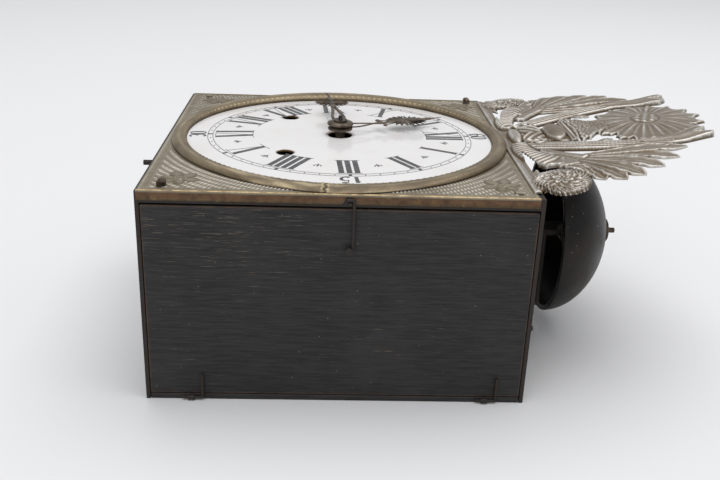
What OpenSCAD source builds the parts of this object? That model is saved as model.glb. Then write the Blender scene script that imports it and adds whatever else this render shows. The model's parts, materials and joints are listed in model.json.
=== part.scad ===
// Comtoise clock movement in its case, lying on its back.
// +X is the clock's up (towards XII), +Y its left side (IX), +Z comes out of the dial.
// The origin is on the axis of the hands, on the outer face of the back board.

/* [Case] */
// Height of the cage over the bottom and top plates
case_h = 250; // [230:1:280]
// Width over the outer faces of the doors
case_w = 254; // [248:1:290]
// Depth from the back of the board to the face of the front frame
case_d = 144.7; // [140:0.1:170]
// Thickness of the iron bottom and top plates
plate_t = 2.5; // [1.5:0.1:4]
// Thickness of the back board
board_t = 4.2; // [4.2:0.1:8]
// Thickness of a door
door_t = 4; // [3:0.1:6]
// Gap round a door and the back board
door_gap = 0.4; // [0.3:0.1:1]
// Side of a square corner post
post_w = 9; // [6:0.5:14]
// Radius of the round tenons that end posts and bars
tenon_r = 2.4; // [1.5:0.1:3]
// Depth of the front frame
frame_t = 7.4; // [5:0.1:10]
// Width of the rails of the front frame
frame_rail = 12; // [8:0.5:16]
// Gap between the front edge of a door and the front frame
door_front_gap = 1.4; // [0.5:0.1:3]

/* [Door irons] */
// Radius of the wire of hinges and latches
wire_r = 1; // [0.7:0.1:1.2]
// Height on the clock of the lower hinge
hinge_low_x = -88; // [-105:1:-60]
// Height on the clock of the upper hinge
hinge_high_x = 106; // [60:1:110]
// Length of the hinge leg on the door
hinge_leg = 17; // [10:1:30]
// Length of the hinge leg that turns in the eye
hinge_pivot = 13; // [8:1:18]
// Radial clearance of the hinge wire in its eye
hinge_clear = 0.08; // [0.03:0.01:0.1]
// Height on the clock of the latches
latch_x = 5; // [-30:1:30]
// Distance of the latch pivot from the front edge of the door
latch_in = 26.5; // [15:0.5:40]
// Gap round the latch and its stud
latch_gap = 0.4; // [0.3:0.1:1]
// Radius of the head of the nail that a latch turns on
nail_head_r = 2.4; // [1.8:0.1:4]

/* [Front] */
// Thickness of the stamped brass sheet
sheet_t = 0.8; // [0.5:0.1:1.5]
// Depth of the folded edge of the brass front
flange_d = 6.5; // [3:0.1:7]
// Distance of the top and bottom edges of the brass front from the outer faces of the plates
front_edge = 3.5; // [2:0.1:6]
// Gap between the dial ring and the top and bottom edges of the brass front
ring_edge = 0.2; // [0:0.1:4]
// Width of the dial ring
ring_w = 12; // [9:0.5:13]
// Height of the rebate of the dial ring over the dial's edge
ring_rebate = 1.4; // [1.3:0.1:4]
// Height of the ring's round top above its rebate
ring_rise = 3.6; // [3:0.1:6]
// Width of the dial ring beyond the enamel dial's edge
dial_seat = 9.5; // [9.3:0.1:10]
// Width of the brass front under the edge of the enamel dial
dial_lap = 7.8; // [6:0.1:14]
// Thickness of the enamel dial
dial_t = 1; // [0.8:0.1:1.7]
// Rise of the dial's dome at its middle
dial_rise = 0.8; // [0.5:0.1:4]
// Radius of the hole for the hands
hand_hole_r = 8.8; // [5:0.1:10]
// Radius of a winding hole
wind_hole_r = 6; // [5.8:0.1:8]
// Distance of the corner studs from the top and bottom edges of the brass front
stud_in_x = 11.5; // [8:0.5:16]
// Distance of the corner studs from the outer faces of the doors
stud_in_y = 10; // [7:0.5:15]
// Side of a square stud head
stud_head = 7; // [5:0.5:9]

/* [Pediment] */
// Length of the pediment's sheet from the top edge of the front
ped_len = 145; // [120:1:180]
// Forward tilt of the pediment in degrees
ped_tilt = 9; // [0:1:20]
// Thickness of the pediment's sheet
ped_t = 1; // [0.6:0.1:2]
// Distance of the pediment's foot from the outer faces of the doors
ped_in = 9.5; // [6:0.5:20]
// Radius of the top rosette
rosette_r = 40; // [34:1:44]
// Radius of the flower roundels at the lower corners
roundel_r = 21; // [18:1:23]
// Height of the boss in the middle of the rosette
boss_h = 5; // [2:0.5:8]

/* [Bell] */
// Outer radius of the bell's rim
bell_r = 62.7; // [55:0.1:70]
// Height of the bell from rim to crown
bell_h = 46.4; // [44:0.1:60]
// Wall of the bell
bell_wall = 3; // [2:0.1:4]
// Roundness of the bell's profile, 2 being a quarter ellipse
bell_power = 1.88; // [1.7:0.01:2.4]
// Gap between the top plate and the rim of the bell
bell_gap = 33.5; // [30:0.5:45]
// Distance of the bell's axis from the back
bell_z = 76.4; // [70:0.1:84]
// Radius of the post that carries the bell
stand_r = 6; // [4:0.1:8]
// Radius of the threaded end of the post
stand_thread_r = 3; // [2:0.1:4]

/* [Hands] */
// Rest angle of the hour hand from XII towards XI
hour_angle = 21; // [0:1:359]
// Rest angle of the minute hand from XII towards XI
minute_angle = 96; // [0:1:359]
// Length of the hour hand
hour_len = 85; // [70:1:95]
// Length of the minute hand
minute_len = 92; // [85:1:105]
// Thickness of a hand
hand_t = 0.8; // [0.6:0.1:1.2]
// Radius of the hands' collets
collet_r = 9.3; // [6:0.1:10]
// Radius of the rayed sun on a hand
sun_r = 14; // [10:0.5:16]

/* [Trains] */
// Height on the clock of the winding arbors, below the hands
wind_x = -38; // [-42:0.5:-36]
// Distance of the winding arbors from the middle line
wind_y = 47; // [46.8:0.1:48]
// Height on the clock of the second arbors, above the hands
second_x = 12; // [11.5:0.1:16]
// Teeth of a great wheel
great_teeth = 72; // [64:8:80]
// Teeth of the second wheels
second_teeth = 64; // [56:8:72]
// Teeth of the third wheels
third_teeth = 60; // [54:6:66]
// Leaves of the pinions
leaves = 8; // [7:1:10]
// Tooth module of the second wheels
second_m = 0.9; // [0.85:0.01:0.95]
// Tooth module of the third wheels
third_m = 0.75; // [0.72:0.01:0.78]
// Thickness of the train wheels
wheel_t = 2; // [1.5:0.1:3]
// Radius of the train arbors
arbor_r = 2.5; // [2:0.1:3]
// Radius of the two fastest arbors
fast_r = 2; // [1.6:0.1:2]
// Radius of the pivots
pivot_r = 1.25; // [0.8:0.05:1.6]
// Radial running clearance of pivots and pipes
run = 0.08; // [0.03:0.01:0.1]
// Gap between a shoulder and the bar it runs against
shake = 0.3; // [0.2:0.05:0.5]
// Width of the upright bars
bar_w = 16; // [12:0.5:20]
// Thickness of bars and cocks
bar_t = 3; // [2:0.1:4]
// Distance of the rear bars from the back
rear_z = 24; // [22:0.5:25]
// Depth of the motion work, from the front bars to the back of the front frame
motion_d = 22.3; // [20:0.1:24]
// Radius of the winding arbors
wind_r = 4; // [3:0.1:4.5]
// Side of the winding squares
square_w = 6; // [4:0.1:6.3]
// Radius of a rope drum
drum_r = 20; // [15:0.5:24]
// Length of a rope drum
drum_len = 44; // [35:0.5:46]
// Radius of the ratchets
ratchet_r = 15; // [12:0.5:18]
// Teeth of the ratchets
ratchet_teeth = 20; // [14:1:30]
// Radius of the escape wheel
escape_r = 21; // [17:0.5:22]
// Teeth of the escape wheel
escape_teeth = 30; // [24:1:36]
// Distance from escape wheel to anchor
anchor_dist = 35; // [32:0.5:38]
// Gap that keeps the pallets clear of the escape wheel
pallet_gap = 1.7; // [1.6:0.1:2.5]

/* [Motion work] */
// Teeth of the driving and minute wheels
minute_teeth = 80; // [72:2:90]
// Leaves of the pinion on the minute pipe
cannon_leaves = 12; // [10:1:14]
// Leaves of the reverse pinion
reverse_leaves = 10; // [9:1:12]
// Centre distance of the reverse wheel
reverse_dist = 24; // [22:0.5:26]
// Radius of the stud that the hands turn on
stud_r = 1.5; // [1.2:0.1:1.6]
// Outer radius of the minute pipe
minute_pipe_r = 2.45; // [2.2:0.05:2.6]
// Outer radius of the hour pipe
hour_pipe_r = 3.3; // [3.1:0.1:4]

/* [Strike] */
// Distance of the hammer arbor from the inside of the bell's rim
hammer_in = 19.7; // [19:0.1:21]
// Distance of the hammer arbor from the back
hammer_z = 33.2; // [33:0.1:33.6]
// Length of the hammer arm
hammer_arm = 56; // [50:1:60]
// Radius of the hammer arm
hammer_r = 2; // [1.5:0.1:2.4]
// Length of the hammer's head
hammer_head = 16; // [12:0.5:18]
// Radius of the circle of lifting pins
pin_circle = 19; // [15:0.5:20]
// Number of lifting pins
lift_pins = 8; // [6:1:12]
// Radius of the fly
fly_r = 20; // [14:0.5:21]
// Travel of the strike rack
rack_travel = 26; // [20:1:26]
// Teeth of the strike rack
rack_teeth = 12; // [12:1:14]

/* [Hidden] */
$fn = 64;

// Case planes
plate_out = case_h / 2;
plate_in = plate_out - plate_t;
door_out = case_w / 2;
door_in = door_out - door_t;
frame_back = case_d - frame_t;
door_low = board_t + door_gap;
door_high = frame_back - door_front_gap;
sheet_top = case_d + sheet_t;
post_y = door_in - door_gap - post_w / 2;
post_back_z = board_t + post_w / 2;
post_front_z = frame_back - post_w / 2;

// Door irons
hinge_y = door_out + wire_r + 0.15;
hinge_z = board_t / 2;
eye_wall = 0.85;
eye_len = 4;
eye_r = wire_r + hinge_clear + eye_wall;
latch_z = door_high - latch_in;
latch_end_z = frame_back + 5;
latch_stud_r = 1.1;
latch_stud_z = latch_end_z - wire_r - latch_gap - latch_stud_r;
latch_y = door_out + sheet_t + latch_gap + wire_r;

// Front
front_x = plate_out - front_edge;
ring_r = front_x - ring_edge;
dial_r = ring_r - dial_seat;
opening_r = dial_r - dial_lap;
stud_x = front_x - stud_in_x;
stud_y = door_out - stud_in_y;
ring_in = ring_r - ring_w;
ring_base = sheet_top + ring_rebate;
ring_sheet = 1;
dial_back = sheet_top;
frame_open_x = plate_out - frame_rail;
frame_open_y = door_out - frame_rail;

// Trains: levels from the rear bars forward
rear_in = rear_z + bar_t;
front_z = frame_back - motion_d;
front_in = front_z - bar_t;
drive_dist = sqrt(pow(second_x, 2) + pow(wind_y, 2));
great_m = 2 * (second_x - wind_x) / (great_teeth + leaves);
second_dist = second_m * (second_teeth + leaves) / 2;
third_dist = third_m * (third_teeth + leaves) / 2;
great_z = front_in - 14;
great_t = 3;
drum_z = great_z - 4.5 - drum_len;
drum_flange = 2.5;
drum_flange_r = drum_r + 6;
ratchet_z = great_z - 3.5;
ratchet_t = 2.5;
second_z = rear_in + 18;
third_z = rear_in + 43;
escape_z = rear_in + 29;
pinion_len = 6;

// The upper arbors of the going train lie on a slanting line from the second arbor to the anchor in the middle
slope = -asin(wind_y / (second_dist + third_dist + anchor_dist));
third_p = on_slope(second_dist);
escape_p = on_slope(second_dist + third_dist);
anchor_p = on_slope(second_dist + third_dist + anchor_dist);
cock_w = 14;
cock_end = (plate_in - second_x) / cos(slope);
wheel_rim = 4.5;
spoke_w = 5;

// The strike train stands straight up
strike_third_x = second_x + second_dist;
fly_x = strike_third_x + third_dist;

// Motion work levels from the front bars forward
drive_z = front_z + 4;
drive_m = 2 * drive_dist / (2 * minute_teeth);
cannon_m = 2 * reverse_dist / (4 * cannon_leaves);
reverse_m = 2 * reverse_dist / (5 * reverse_leaves);
reverse_z = drive_z + 5;
hour_z = reverse_z + 5;
snail_z = hour_z + 4;
snail_r = 19;
hour_hand_z = sheet_top + 7.4;
minute_hand_z = hour_hand_z + 3.6;
collet_t = 1.8;
washer_t = 1;
hand_pin_r = 0.8;
washer_z = minute_hand_z + hand_t + shake;
hand_pin_z = washer_z + washer_t + hand_pin_r;
stud_end = hand_pin_z + 1.8;

// The reverse wheel's cock stands on the centre bar beyond the minute wheel and reaches back over it
minute_tip = drive_m * (minute_teeth / 2 + 1);
cock_gap = 0.7;
cock_post = 6;
cock_side = 8;
cock_rivet_x = -minute_tip - cock_gap - cock_post / 2;

// Strike parts
hammer_y = bell_r - bell_wall - hammer_in;
hammer_low = wind_x + drum_flange_r + bar_t + 2;
hammer_below_rim = 9;
tail_past = 7;
tail_len = wind_y - hammer_y + tail_past;
head_in = 5.5;
tail_w = 9;
tail_t = 4;
pin_len = 5;
pin_r = 1.5;
rack_z = front_z + 3;
rack_t = 3;
rack_w = 11;
rack_stud_r = 2;
rack_end = 4;
rack_top_gap = 6.5;
rack_stud_apart = 30;
rack_foot = 10;
rack_stud_high = plate_in - rack_top_gap - rack_end - rack_stud_r - rack_travel;
rack_stud_x = [rack_stud_high - rack_stud_apart, rack_stud_high];
rack_low = rack_stud_x[0] - rack_foot;
rack_pitch = 2.4;
rack_first = 8;
feeler_z = snail_z;
hammer_top = plate_out + bell_gap - hammer_below_rim;

// Bell
rim_x = plate_out + bell_gap;
crown_x = rim_x + bell_h;
nut_t = 5;
bell_washer_t = 2.5;

function on_slope(s) = [second_x + s * cos(slope), wind_y + s * sin(slope)];
function polar(r, a) = [r * cos(a), r * sin(a)];
// Turn of a gear so that its teeth mesh with a gear of n1 teeth, turned by a1, seen along direction phi
function meshed(n1, a1, n2, phi) = phi + 180 - 360 / n2 * (0.5 - (phi - a1) * n1 / 360);

// Colours of the real surfaces
iron = [0.23, 0.20, 0.18];
steel = [0.45, 0.44, 0.43];
brass = [0.60, 0.53, 0.38];
old_brass = [0.55, 0.50, 0.42];
black_wood = [0.20, 0.19, 0.19];
white_enamel = [0.90, 0.91, 0.92];
bell_metal = [0.16, 0.16, 0.17];

// A box given by its lowest and highest corners
module block(low, high) {
    translate(low)
        cube(high - low);
}

// A rod along the clock's height
module rod_x(r, low, high) {
    translate([low, 0, 0])
        rotate([0, 90, 0])
            cylinder(r = r, h = high - low);
}

// A rod across the clock
module rod_y(r, low, high) {
    translate([0, high, 0])
        rotate([90, 0, 0])
            cylinder(r = r, h = high - low);
}

// The same part at both sides
module both_sides() {
    children();
    mirror([0, 1, 0])
        children();
}

// Tooth outline: root, pitch and tip half widths are shares of the tooth pitch
module teeth(n, m, add, ded, root, pitch, tip) {
    r = n * m / 2;
    polygon([for (k = [0 : n - 1])
        for (p = [[-ded, -root], [0, -pitch], [add, -tip], [add, tip], [0, pitch], [-ded, root]])
            polar(r + p[0] * m, 360 / n * (k + p[1]))]);
}

module wheel_teeth(n, m) {
    teeth(n, m, 0.8, 1.15, 0.22, 0.19, 0.06);
}

module pinion_teeth(n, m) {
    teeth(n, m, 0.55, 1.3, 0.13, 0.15, 0.06);
}

// A brass wheel with four crossings, bored for its arbor
module wheel(n, m, t, bore, hub) {
    r = n * m / 2;
    rim = r - wheel_rim;
    linear_extrude(t)
        difference() {
            wheel_teeth(n, m);
            difference() {
                circle(rim);
                circle(hub);
                for (a = [0, 90])
                    rotate(a)
                        square([2 * r, spoke_w], center = true);
            }
            circle(bore);
        }
}

// An arbor between the bars with a pivot at each end and its pinion
module arbor(r, low, high, pinion_z, m, turn) {
    translate([0, 0, low + shake])
        cylinder(r = r, h = high - low - 2 * shake);
    translate([0, 0, low - bar_t])
        cylinder(r = pivot_r, h = high - low + 2 * bar_t);
    translate([0, 0, pinion_z])
        rotate(turn)
            linear_extrude(pinion_len)
                pinion_teeth(leaves, m);
}

// Iron bottom plate with slots for the ropes and the pendulum
module bottom_plate() {
    rope_w = 2 * drum_r - 4;
    color(iron)
        difference() {
            block([-plate_out, -door_out, 0], [-plate_in, door_out, frame_back]);
            plate_holes(-plate_out);
            both_sides()
                block([-plate_out - 1, wind_y - rope_w / 2, drum_z + 4],
                    [-plate_in + 1, wind_y + rope_w / 2, drum_z + drum_len - 4]);
            block([-plate_out - 1, -25, post_back_z], [-plate_in + 1, 25, rear_z - 2]);
        }
}

// Holes in a plate for the tenons of posts and bars
module plate_holes(x) {
    for (y = [-post_y, post_y], z = [post_back_z, post_front_z])
        translate([x - 1, y, z])
            rod_x(tenon_r, 0, plate_t + 2);
    for (y = [-wind_y, 0, wind_y])
        translate([x - 1, y, front_in + bar_t / 2])
            tenon_box(plate_t + 2);
    for (y = [-wind_y, wind_y])
        translate([x - 1, y, rear_z + bar_t / 2])
            tenon_box(plate_t + 2);
}

// The flat tenon of a bar
module tenon_box(len) {
    translate([0, -bar_w / 4, -bar_t / 2])
        cube([len, bar_w / 2, bar_t]);
}

module top_plate() {
    color(iron)
        difference() {
            block([plate_in, -door_out, 0], [plate_out, door_out, frame_back]);
            plate_holes(plate_in);
            translate([plate_in - 1, -hammer_y, hammer_z])
                rod_x(arbor_r + run, 0, plate_t + 2);
            translate([plate_in - 1, 0, bell_z])
                rod_x(stand_r, 0, plate_t + 2);
        }
}

// Four square posts riveted through the plates
module corner_posts() {
    color(iron)
        for (y = [-post_y, post_y], z = [post_back_z, post_front_z])
            translate([0, y, z]) {
                cube([2 * plate_in, post_w, post_w], center = true);
                rod_x(tenon_r, -plate_out, plate_out);
            }
}

// Iron frame in front of the plates and posts, carrying the brass front
module front_frame() {
    color(iron)
        difference() {
            block([-plate_out, -door_out, frame_back], [plate_out, door_out, case_d]);
            block([-frame_open_x, -frame_open_y, frame_back - 1], [frame_open_x, frame_open_y, case_d + 1]);
            both_sides()
                translate([latch_x, 0, latch_stud_z])
                    rod_y(latch_stud_r, frame_open_y, door_out + 1);
            translate([0, base_pin_y, base_pin_z])
                rod_x(base_pin_r, -plate_out - 1, -frame_open_x + 1);
            stud_holes();
        }
}

// Wooden back board with pockets for the hinge eyes and screw holes
module back_board() {
    color(black_wood)
        difference() {
            block([-plate_in + door_gap, -door_out, 0], [plate_in - door_gap, door_out, board_t]);
            for (x = [hinge_low_x, hinge_high_x], side = [-1, 1])
                translate([x - eye_at - eye_len / 2 - 0.1, side * door_out - eye_pocket, -1])
                    cube([eye_len + 0.2, 2 * eye_pocket, board_t + 2]);
            for (p = screw_places)
                translate([p[0], p[1], -1])
                    cylinder(r = screw_r, h = board_t + 2);
        }
}

eye_at = hinge_pivot / 2 + 1;
eye_pocket = eye_r - (hinge_y - door_out) + 0.05;
screw_r = 1.6;
screw_x = 70;
screw_places = [for (x = [-screw_x, screw_x], y = [-post_y, post_y]) [x, y]];

// Eyes in the edge of the back board, seated in their pockets
module hinge_eyes() {
    color(iron)
        for (x = [hinge_low_x, hinge_high_x], side = [-1, 1])
            translate([x - eye_at, side * hinge_y, hinge_z])
                difference() {
                    rod_x(eye_r, -eye_len / 2, eye_len / 2);
                    rod_x(wire_r + hinge_clear, -eye_len, eye_len);
                }
}

// Screws through the back board into the rear posts, ending flush
module board_screws() {
    color(steel)
        for (p = screw_places)
            translate([p[0], p[1], 0])
                cylinder(r = screw_r, h = board_t);
}

// One upright bar with its tenons, the upper one standing out of the top plate
module upright_bar(y, z) {
    translate([-plate_in, y - bar_w / 2, z])
        cube([2 * plate_in, bar_w, bar_t]);
    translate([-plate_out, y, z + bar_t / 2])
        tenon_box(2 * plate_out + 5);
}

// Through hole along the depth
module bore_z(p, r) {
    translate([p[0], p[1], -1])
        cylinder(r = r, h = case_d);
}

// Front bars: going, centre and strike
module front_bars() {
    color(iron)
        difference() {
            union()
                for (y = [-wind_y, 0, wind_y])
                    upright_bar(y, front_in);
            for (side = [-1, 1])
                bore_z([wind_x, side * wind_y], wind_r + run);
            bore_z([second_x, wind_y], arbor_r + run);
            bore_z([second_x, -wind_y], pivot_r + run);
            bore_z([strike_third_x, -wind_y], pivot_r + run);
            bore_z([fly_x, -wind_y], pivot_r + run);
            bore_z([0, 0], stud_r);
            bore_z([cock_rivet_x, 0], stud_r);
            for (x = rack_stud_x)
                bore_z([x, -wind_y], rack_stud_r);
        }
}

// Rear bars: going and strike
module rear_bars() {
    color(iron)
        difference() {
            union()
                for (y = [-wind_y, wind_y])
                    upright_bar(y, rear_z);
            for (side = [-1, 1]) {
                bore_z([wind_x, side * wind_y], pivot_r * 1.6 + run);
                bore_z([second_x, side * wind_y], pivot_r + run);
            }
            bore_z([strike_third_x, -wind_y], pivot_r + run);
            bore_z([fly_x, -wind_y], pivot_r + run);
        }
}

// Slanting cocks inside the bars that carry the upper arbors of the going train
module train_cocks() {
    start = -8;
    color(iron)
        for (z = [rear_in, front_in - bar_t])
            difference() {
                intersection() {
                    translate([second_x, wind_y, z])
                        rotate(slope)
                            translate([start, -cock_w / 2, 0])
                                cube([cock_end - start + cock_w, cock_w, bar_t]);
                    block([-plate_in, -door_out, 0], [plate_in, door_out, case_d]);
                }
                bore_z([second_x, wind_y], arbor_r + 0.6);
                for (p = [third_p, escape_p, anchor_p])
                    bore_z(p, pivot_r + run);
            }
}

// Fixed studs: hands, reverse wheel and strike rack
module motion_studs() {
    color(steel) {
        difference() {
            translate([0, 0, front_in])
                cylinder(r = stud_r, h = stud_end - front_in);
            translate([0, 0, hand_pin_z])
                rotate(minute_angle)
                    rod_x(hand_pin_r, -5, 5);
        }
        reverse_cock();
        for (x = rack_stud_x)
            translate([x, -wind_y, front_in]) {
                cylinder(r = rack_stud_r, h = rack_z + rack_t + 1.5 - front_in);
                translate([0, 0, rack_z + rack_t + shake - front_in])
                    cylinder(r = rack_stud_r + 2.5, h = 1.2);
            }
    }
}

// Cock of the reverse wheel: a riveted post on the centre bar, an arm over the minute wheel and the stud
module reverse_cock() {
    arm_z = drive_z + wheel_t + cock_gap;
    arm_top = reverse_z - cock_gap;
    translate([cock_rivet_x, 0, front_in])
        cylinder(r = stud_r, h = bar_t + 1);
    block([cock_rivet_x - cock_post / 2, -cock_side / 2, front_z], [cock_rivet_x + cock_post / 2, cock_side / 2, arm_top]);
    block([cock_rivet_x, -cock_side / 2, arm_z], [-reverse_dist, cock_side / 2, arm_top]);
    translate([-reverse_dist, 0, arm_z]) {
        cylinder(r = cock_side / 2, h = arm_top - arm_z);
        cylinder(r = stud_r, h = hour_z + wheel_t + 2 - arm_z);
    }
}

hang_d = 14;
hang_len = 24;
hang_w = 12;
hang_slit = 1.2;

// Cock under the top plate that the pendulum's spring would hang in
module suspension_cock() {
    low_z = rear_z - hang_d - 4;
    color(steel)
        difference() {
            union() {
                block([plate_in - hang_len, -hang_w / 2, low_z], [plate_in, hang_w / 2, low_z + hang_d]);
                block([plate_in - bar_t, -hang_d, low_z], [plate_in, hang_d, low_z + hang_d]);
            }
            block([plate_in - hang_len - 1, -hang_slit / 2, low_z - 1],
                [plate_in - hang_len / 3, hang_slit / 2, low_z + hang_d + 1]);
        }
}

shelf_lap = 6;
shelf_foot = 8;

// Shelf on the strike rear bar for the lower pivot of the hammer arbor
module hammer_cock() {
    color(iron)
        difference() {
            union() {
                block([hammer_low - bar_t, -wind_y + bar_w / 2 - shelf_lap, rear_in],
                    [hammer_low, -hammer_y + shelf_lap, hammer_z + shelf_lap]);
                block([hammer_low - bar_t - shelf_foot, -wind_y + bar_w / 2 - shelf_lap, rear_in],
                    [hammer_low, -wind_y + bar_w / 2, rear_in + bar_t]);
            }
            translate([hammer_low - bar_t - 1, -hammer_y, hammer_z])
                rod_x(pivot_r + run, 0, bar_t + 2);
        }
}

// Stamped brass front with folded sides, an opening behind the dial and a slot over each latch stud
module front_plate() {
    flange_y = door_out + sheet_t;
    color(old_brass)
        difference() {
            union() {
                block([-front_x, -flange_y, case_d], [front_x, flange_y, sheet_top]);
                both_sides()
                    block([-front_x, door_out, sheet_top - flange_d], [front_x, flange_y, sheet_top]);
            }
            translate([0, 0, case_d - 1])
                cylinder(r = opening_r, h = sheet_t + 2);
            both_sides()
                block([latch_x - 6, door_out - 0.01, sheet_top - flange_d - 1],
                    [latch_x + 8, flange_y + 1, latch_end_z + wire_r + 1]);
            stud_holes();
        }
}

// Holes for the corner studs through the brass front into the frame
module stud_holes() {
    for (x = [-stud_x, stud_x], y = [-stud_y, stud_y])
        translate([x, y, case_d - stud_depth])
            cylinder(r = stud_shank_r, h = stud_depth + sheet_t + 1);
}

stud_shank_r = 1.6;
stud_depth = 5;
stud_head_t = 3;

// Low round-topped brass ring that holds the dial down by its rebate
module dial_ring() {
    tube = ring_w / 2;
    color(old_brass)
        rotate_extrude($fn = 128)
            union() {
                translate([dial_r + door_gap, sheet_top])
                    square([ring_r - dial_r - door_gap, ring_rebate + ring_sheet]);
                translate([ring_in + tube, ring_base])
                    intersection() {
                        difference() {
                            scale([1, ring_rise / tube])
                                circle(tube);
                            scale([1, (ring_rise - ring_sheet) / (tube - ring_sheet)])
                                circle(tube - ring_sheet);
                        }
                        translate([-tube, 0])
                            square([2 * tube, tube]);
                    }
            }
}

// Domed enamel dial with a hole for the hands and two winding holes
module enamel_dial() {
    steps = 12;
    dome = [for (i = [0 : steps])
        let (r = dial_r * i / steps)
            [r, dial_back + dial_rise * (1 - pow(i / steps, 2))]];
    color(white_enamel)
        difference() {
            rotate_extrude($fn = 128)
                polygon(concat(dome, [for (i = [steps : -1 : 0]) [dome[i][0], dome[i][1] + dial_t]]));
            translate([0, 0, dial_back - 1])
                cylinder(r = hand_hole_r, h = dial_rise + dial_t + 2);
            for (side = [-1, 1])
                translate([wind_x, side * wind_y, dial_back - 1])
                    cylinder(r = wind_hole_r, h = dial_rise + dial_t + 2);
        }
}

// A flower with lobed edge: the radius swings by depth, lobes times round
module flower(r, depth, lobes) {
    steps = lobes * 4;
    polygon([for (i = [0 : steps - 1]) polar(r - depth * (1 - cos(360 * i * lobes / steps)) / 2, 360 * i / steps)]);
}

// The pediment is drawn on a sheet 145 long and 117.5 to either side, and follows its two sizes from there
function ped_at(u, w) = [u * ped_len / 145, w * ped_half / 117.5];
function ped_curve(points) = [for (q = points) ped_at(q[0], q[1])];

// A point of the curve through three points, and its direction there, for t from 0 to 1
function curve_at(p, t) = p[0] * (2 * t * t - 3 * t + 1) + p[1] * (4 * t - 4 * t * t) + p[2] * (2 * t * t - t);
function curve_way(p, t) =
    let (d = p[0] * (4 * t - 3) + p[1] * (4 - 8 * t) + p[2] * (4 * t - 1))
    d / norm(d);

// Half-widths of a leaf lobe from its narrow root to its tip
function lobe_half(w) = [for (t = [0 : 0.2 : 1]) max(0.6, w * (0.16 + 0.84 * pow(t, 0.7)) * sqrt(max(0, 1 - pow(t, 5))))];

// A beaten rib along a curve, with a ridge down its middle: half-widths and ridge heights from root to tip
module beaten_rib(p, half, ridge) {
    n = len(half) - 1;
    points = [for (i = [0 : n])
        let (c = curve_at(p, i / n), d = curve_way(p, i / n), side = [-d[1], d[0]] * half[i])
        each [[c[0] + side[0], c[1] + side[1], 0], [c[0] - side[0], c[1] - side[1], 0],
            [c[0] - side[0], c[1] - side[1], ped_t], [c[0], c[1], ped_t + ridge[i]],
            [c[0] + side[0], c[1] + side[1], ped_t]]];
    walls = [for (i = [0 : n - 1], k = [0 : 4])
        let (a = 5 * i + k, b = 5 * i + (k + 1) % 5)
        each [[a, b, b + 5], [a, b + 5, a + 5]]];
    polyhedron(points, concat([[4, 3, 2, 1, 0]], walls, [[for (k = [0 : 4]) 5 * n + k]]));
}

// A smooth mound on an oval foot
module mound(ru, rw, h, sides = 16) {
    scale([ru, rw, h])
        rotate_extrude($fn = sides)
            polygon(concat([[0, 0]], [for (a = [0 : 22.5 : 90]) [cos(a), sin(a)]]));
}

// Root, middle and tip of each lobe of the large leaf, with its half-width
ped_lobes = [
    [[35, 70], [36, 86], [38.5, 100], 5.5], [[36, 70], [41, 90], [45.5, 106], 6.5],
    [[37, 69], [49, 92], [58, 109], 7], [[38, 68], [57, 89], [71, 106], 7.5],
    [[40, 67], [64, 83], [83, 96], 7.5], [[41, 66], [69, 79], [90, 97], 7],
    [[42, 65], [74, 72], [100, 85], 8], [[43, 63], [78, 65], [112, 66], 8.5]];

// Half-width of the middle column up the sheet: knot, vase, collar and flowers
ped_column = [[0, 24], [4, 24], [9, 20], [14, 18], [20, 20], [27, 17], [31, 16], [38, 20], [45, 23], [49, 31],
    [53, 28], [58, 24], [66, 16], [75, 9]];
ped_posy = [[53, 28], [58, 24], [66, 16], [75, 9]];
ped_half = door_out - ped_in;

// A shape given by its half-widths up the sheet
module ped_shape(rows) {
    n = len(rows);
    polygon(concat([for (q = rows) ped_at(q[0], q[1])], [for (i = [n - 1 : -1 : 0]) ped_at(rows[i][0], -rows[i][1])]));
}

// Middle of the pediment: boss, knot, vase, collar and a mound of flowers
module pediment_middle() {
    linear_extrude(ped_t)
        ped_shape(ped_column);
    linear_extrude(ped_t + 2)
        ped_shape(ped_posy);
    translate(ped_at(8.4, 0))
        mound(4.6, 16.5, boss_h + 1);
    translate(ped_at(20.5, 0))
        mound(8.5, 17, boss_h - 0.5);
    translate(ped_at(37.3, 0))
        mound(8, 18.5, boss_h + 1);
    for (side = [-1, 1])
        beaten_rib(ped_curve([[51.5, 0], [51, 15 * side], [50, 30 * side]]), [1.8, 1.8, 1.8], [2.8, 2.8, 2.6]);
    for (q = [[57, 0], [57, 10], [57, 19], [57, -10], [57, -19], [64, 5], [64, 13], [64, -5], [64, -13], [71, 0]])
        translate(ped_at(q[0], q[1]))
            mound(4, 4, ped_t + 3.4, 8);
}

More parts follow.
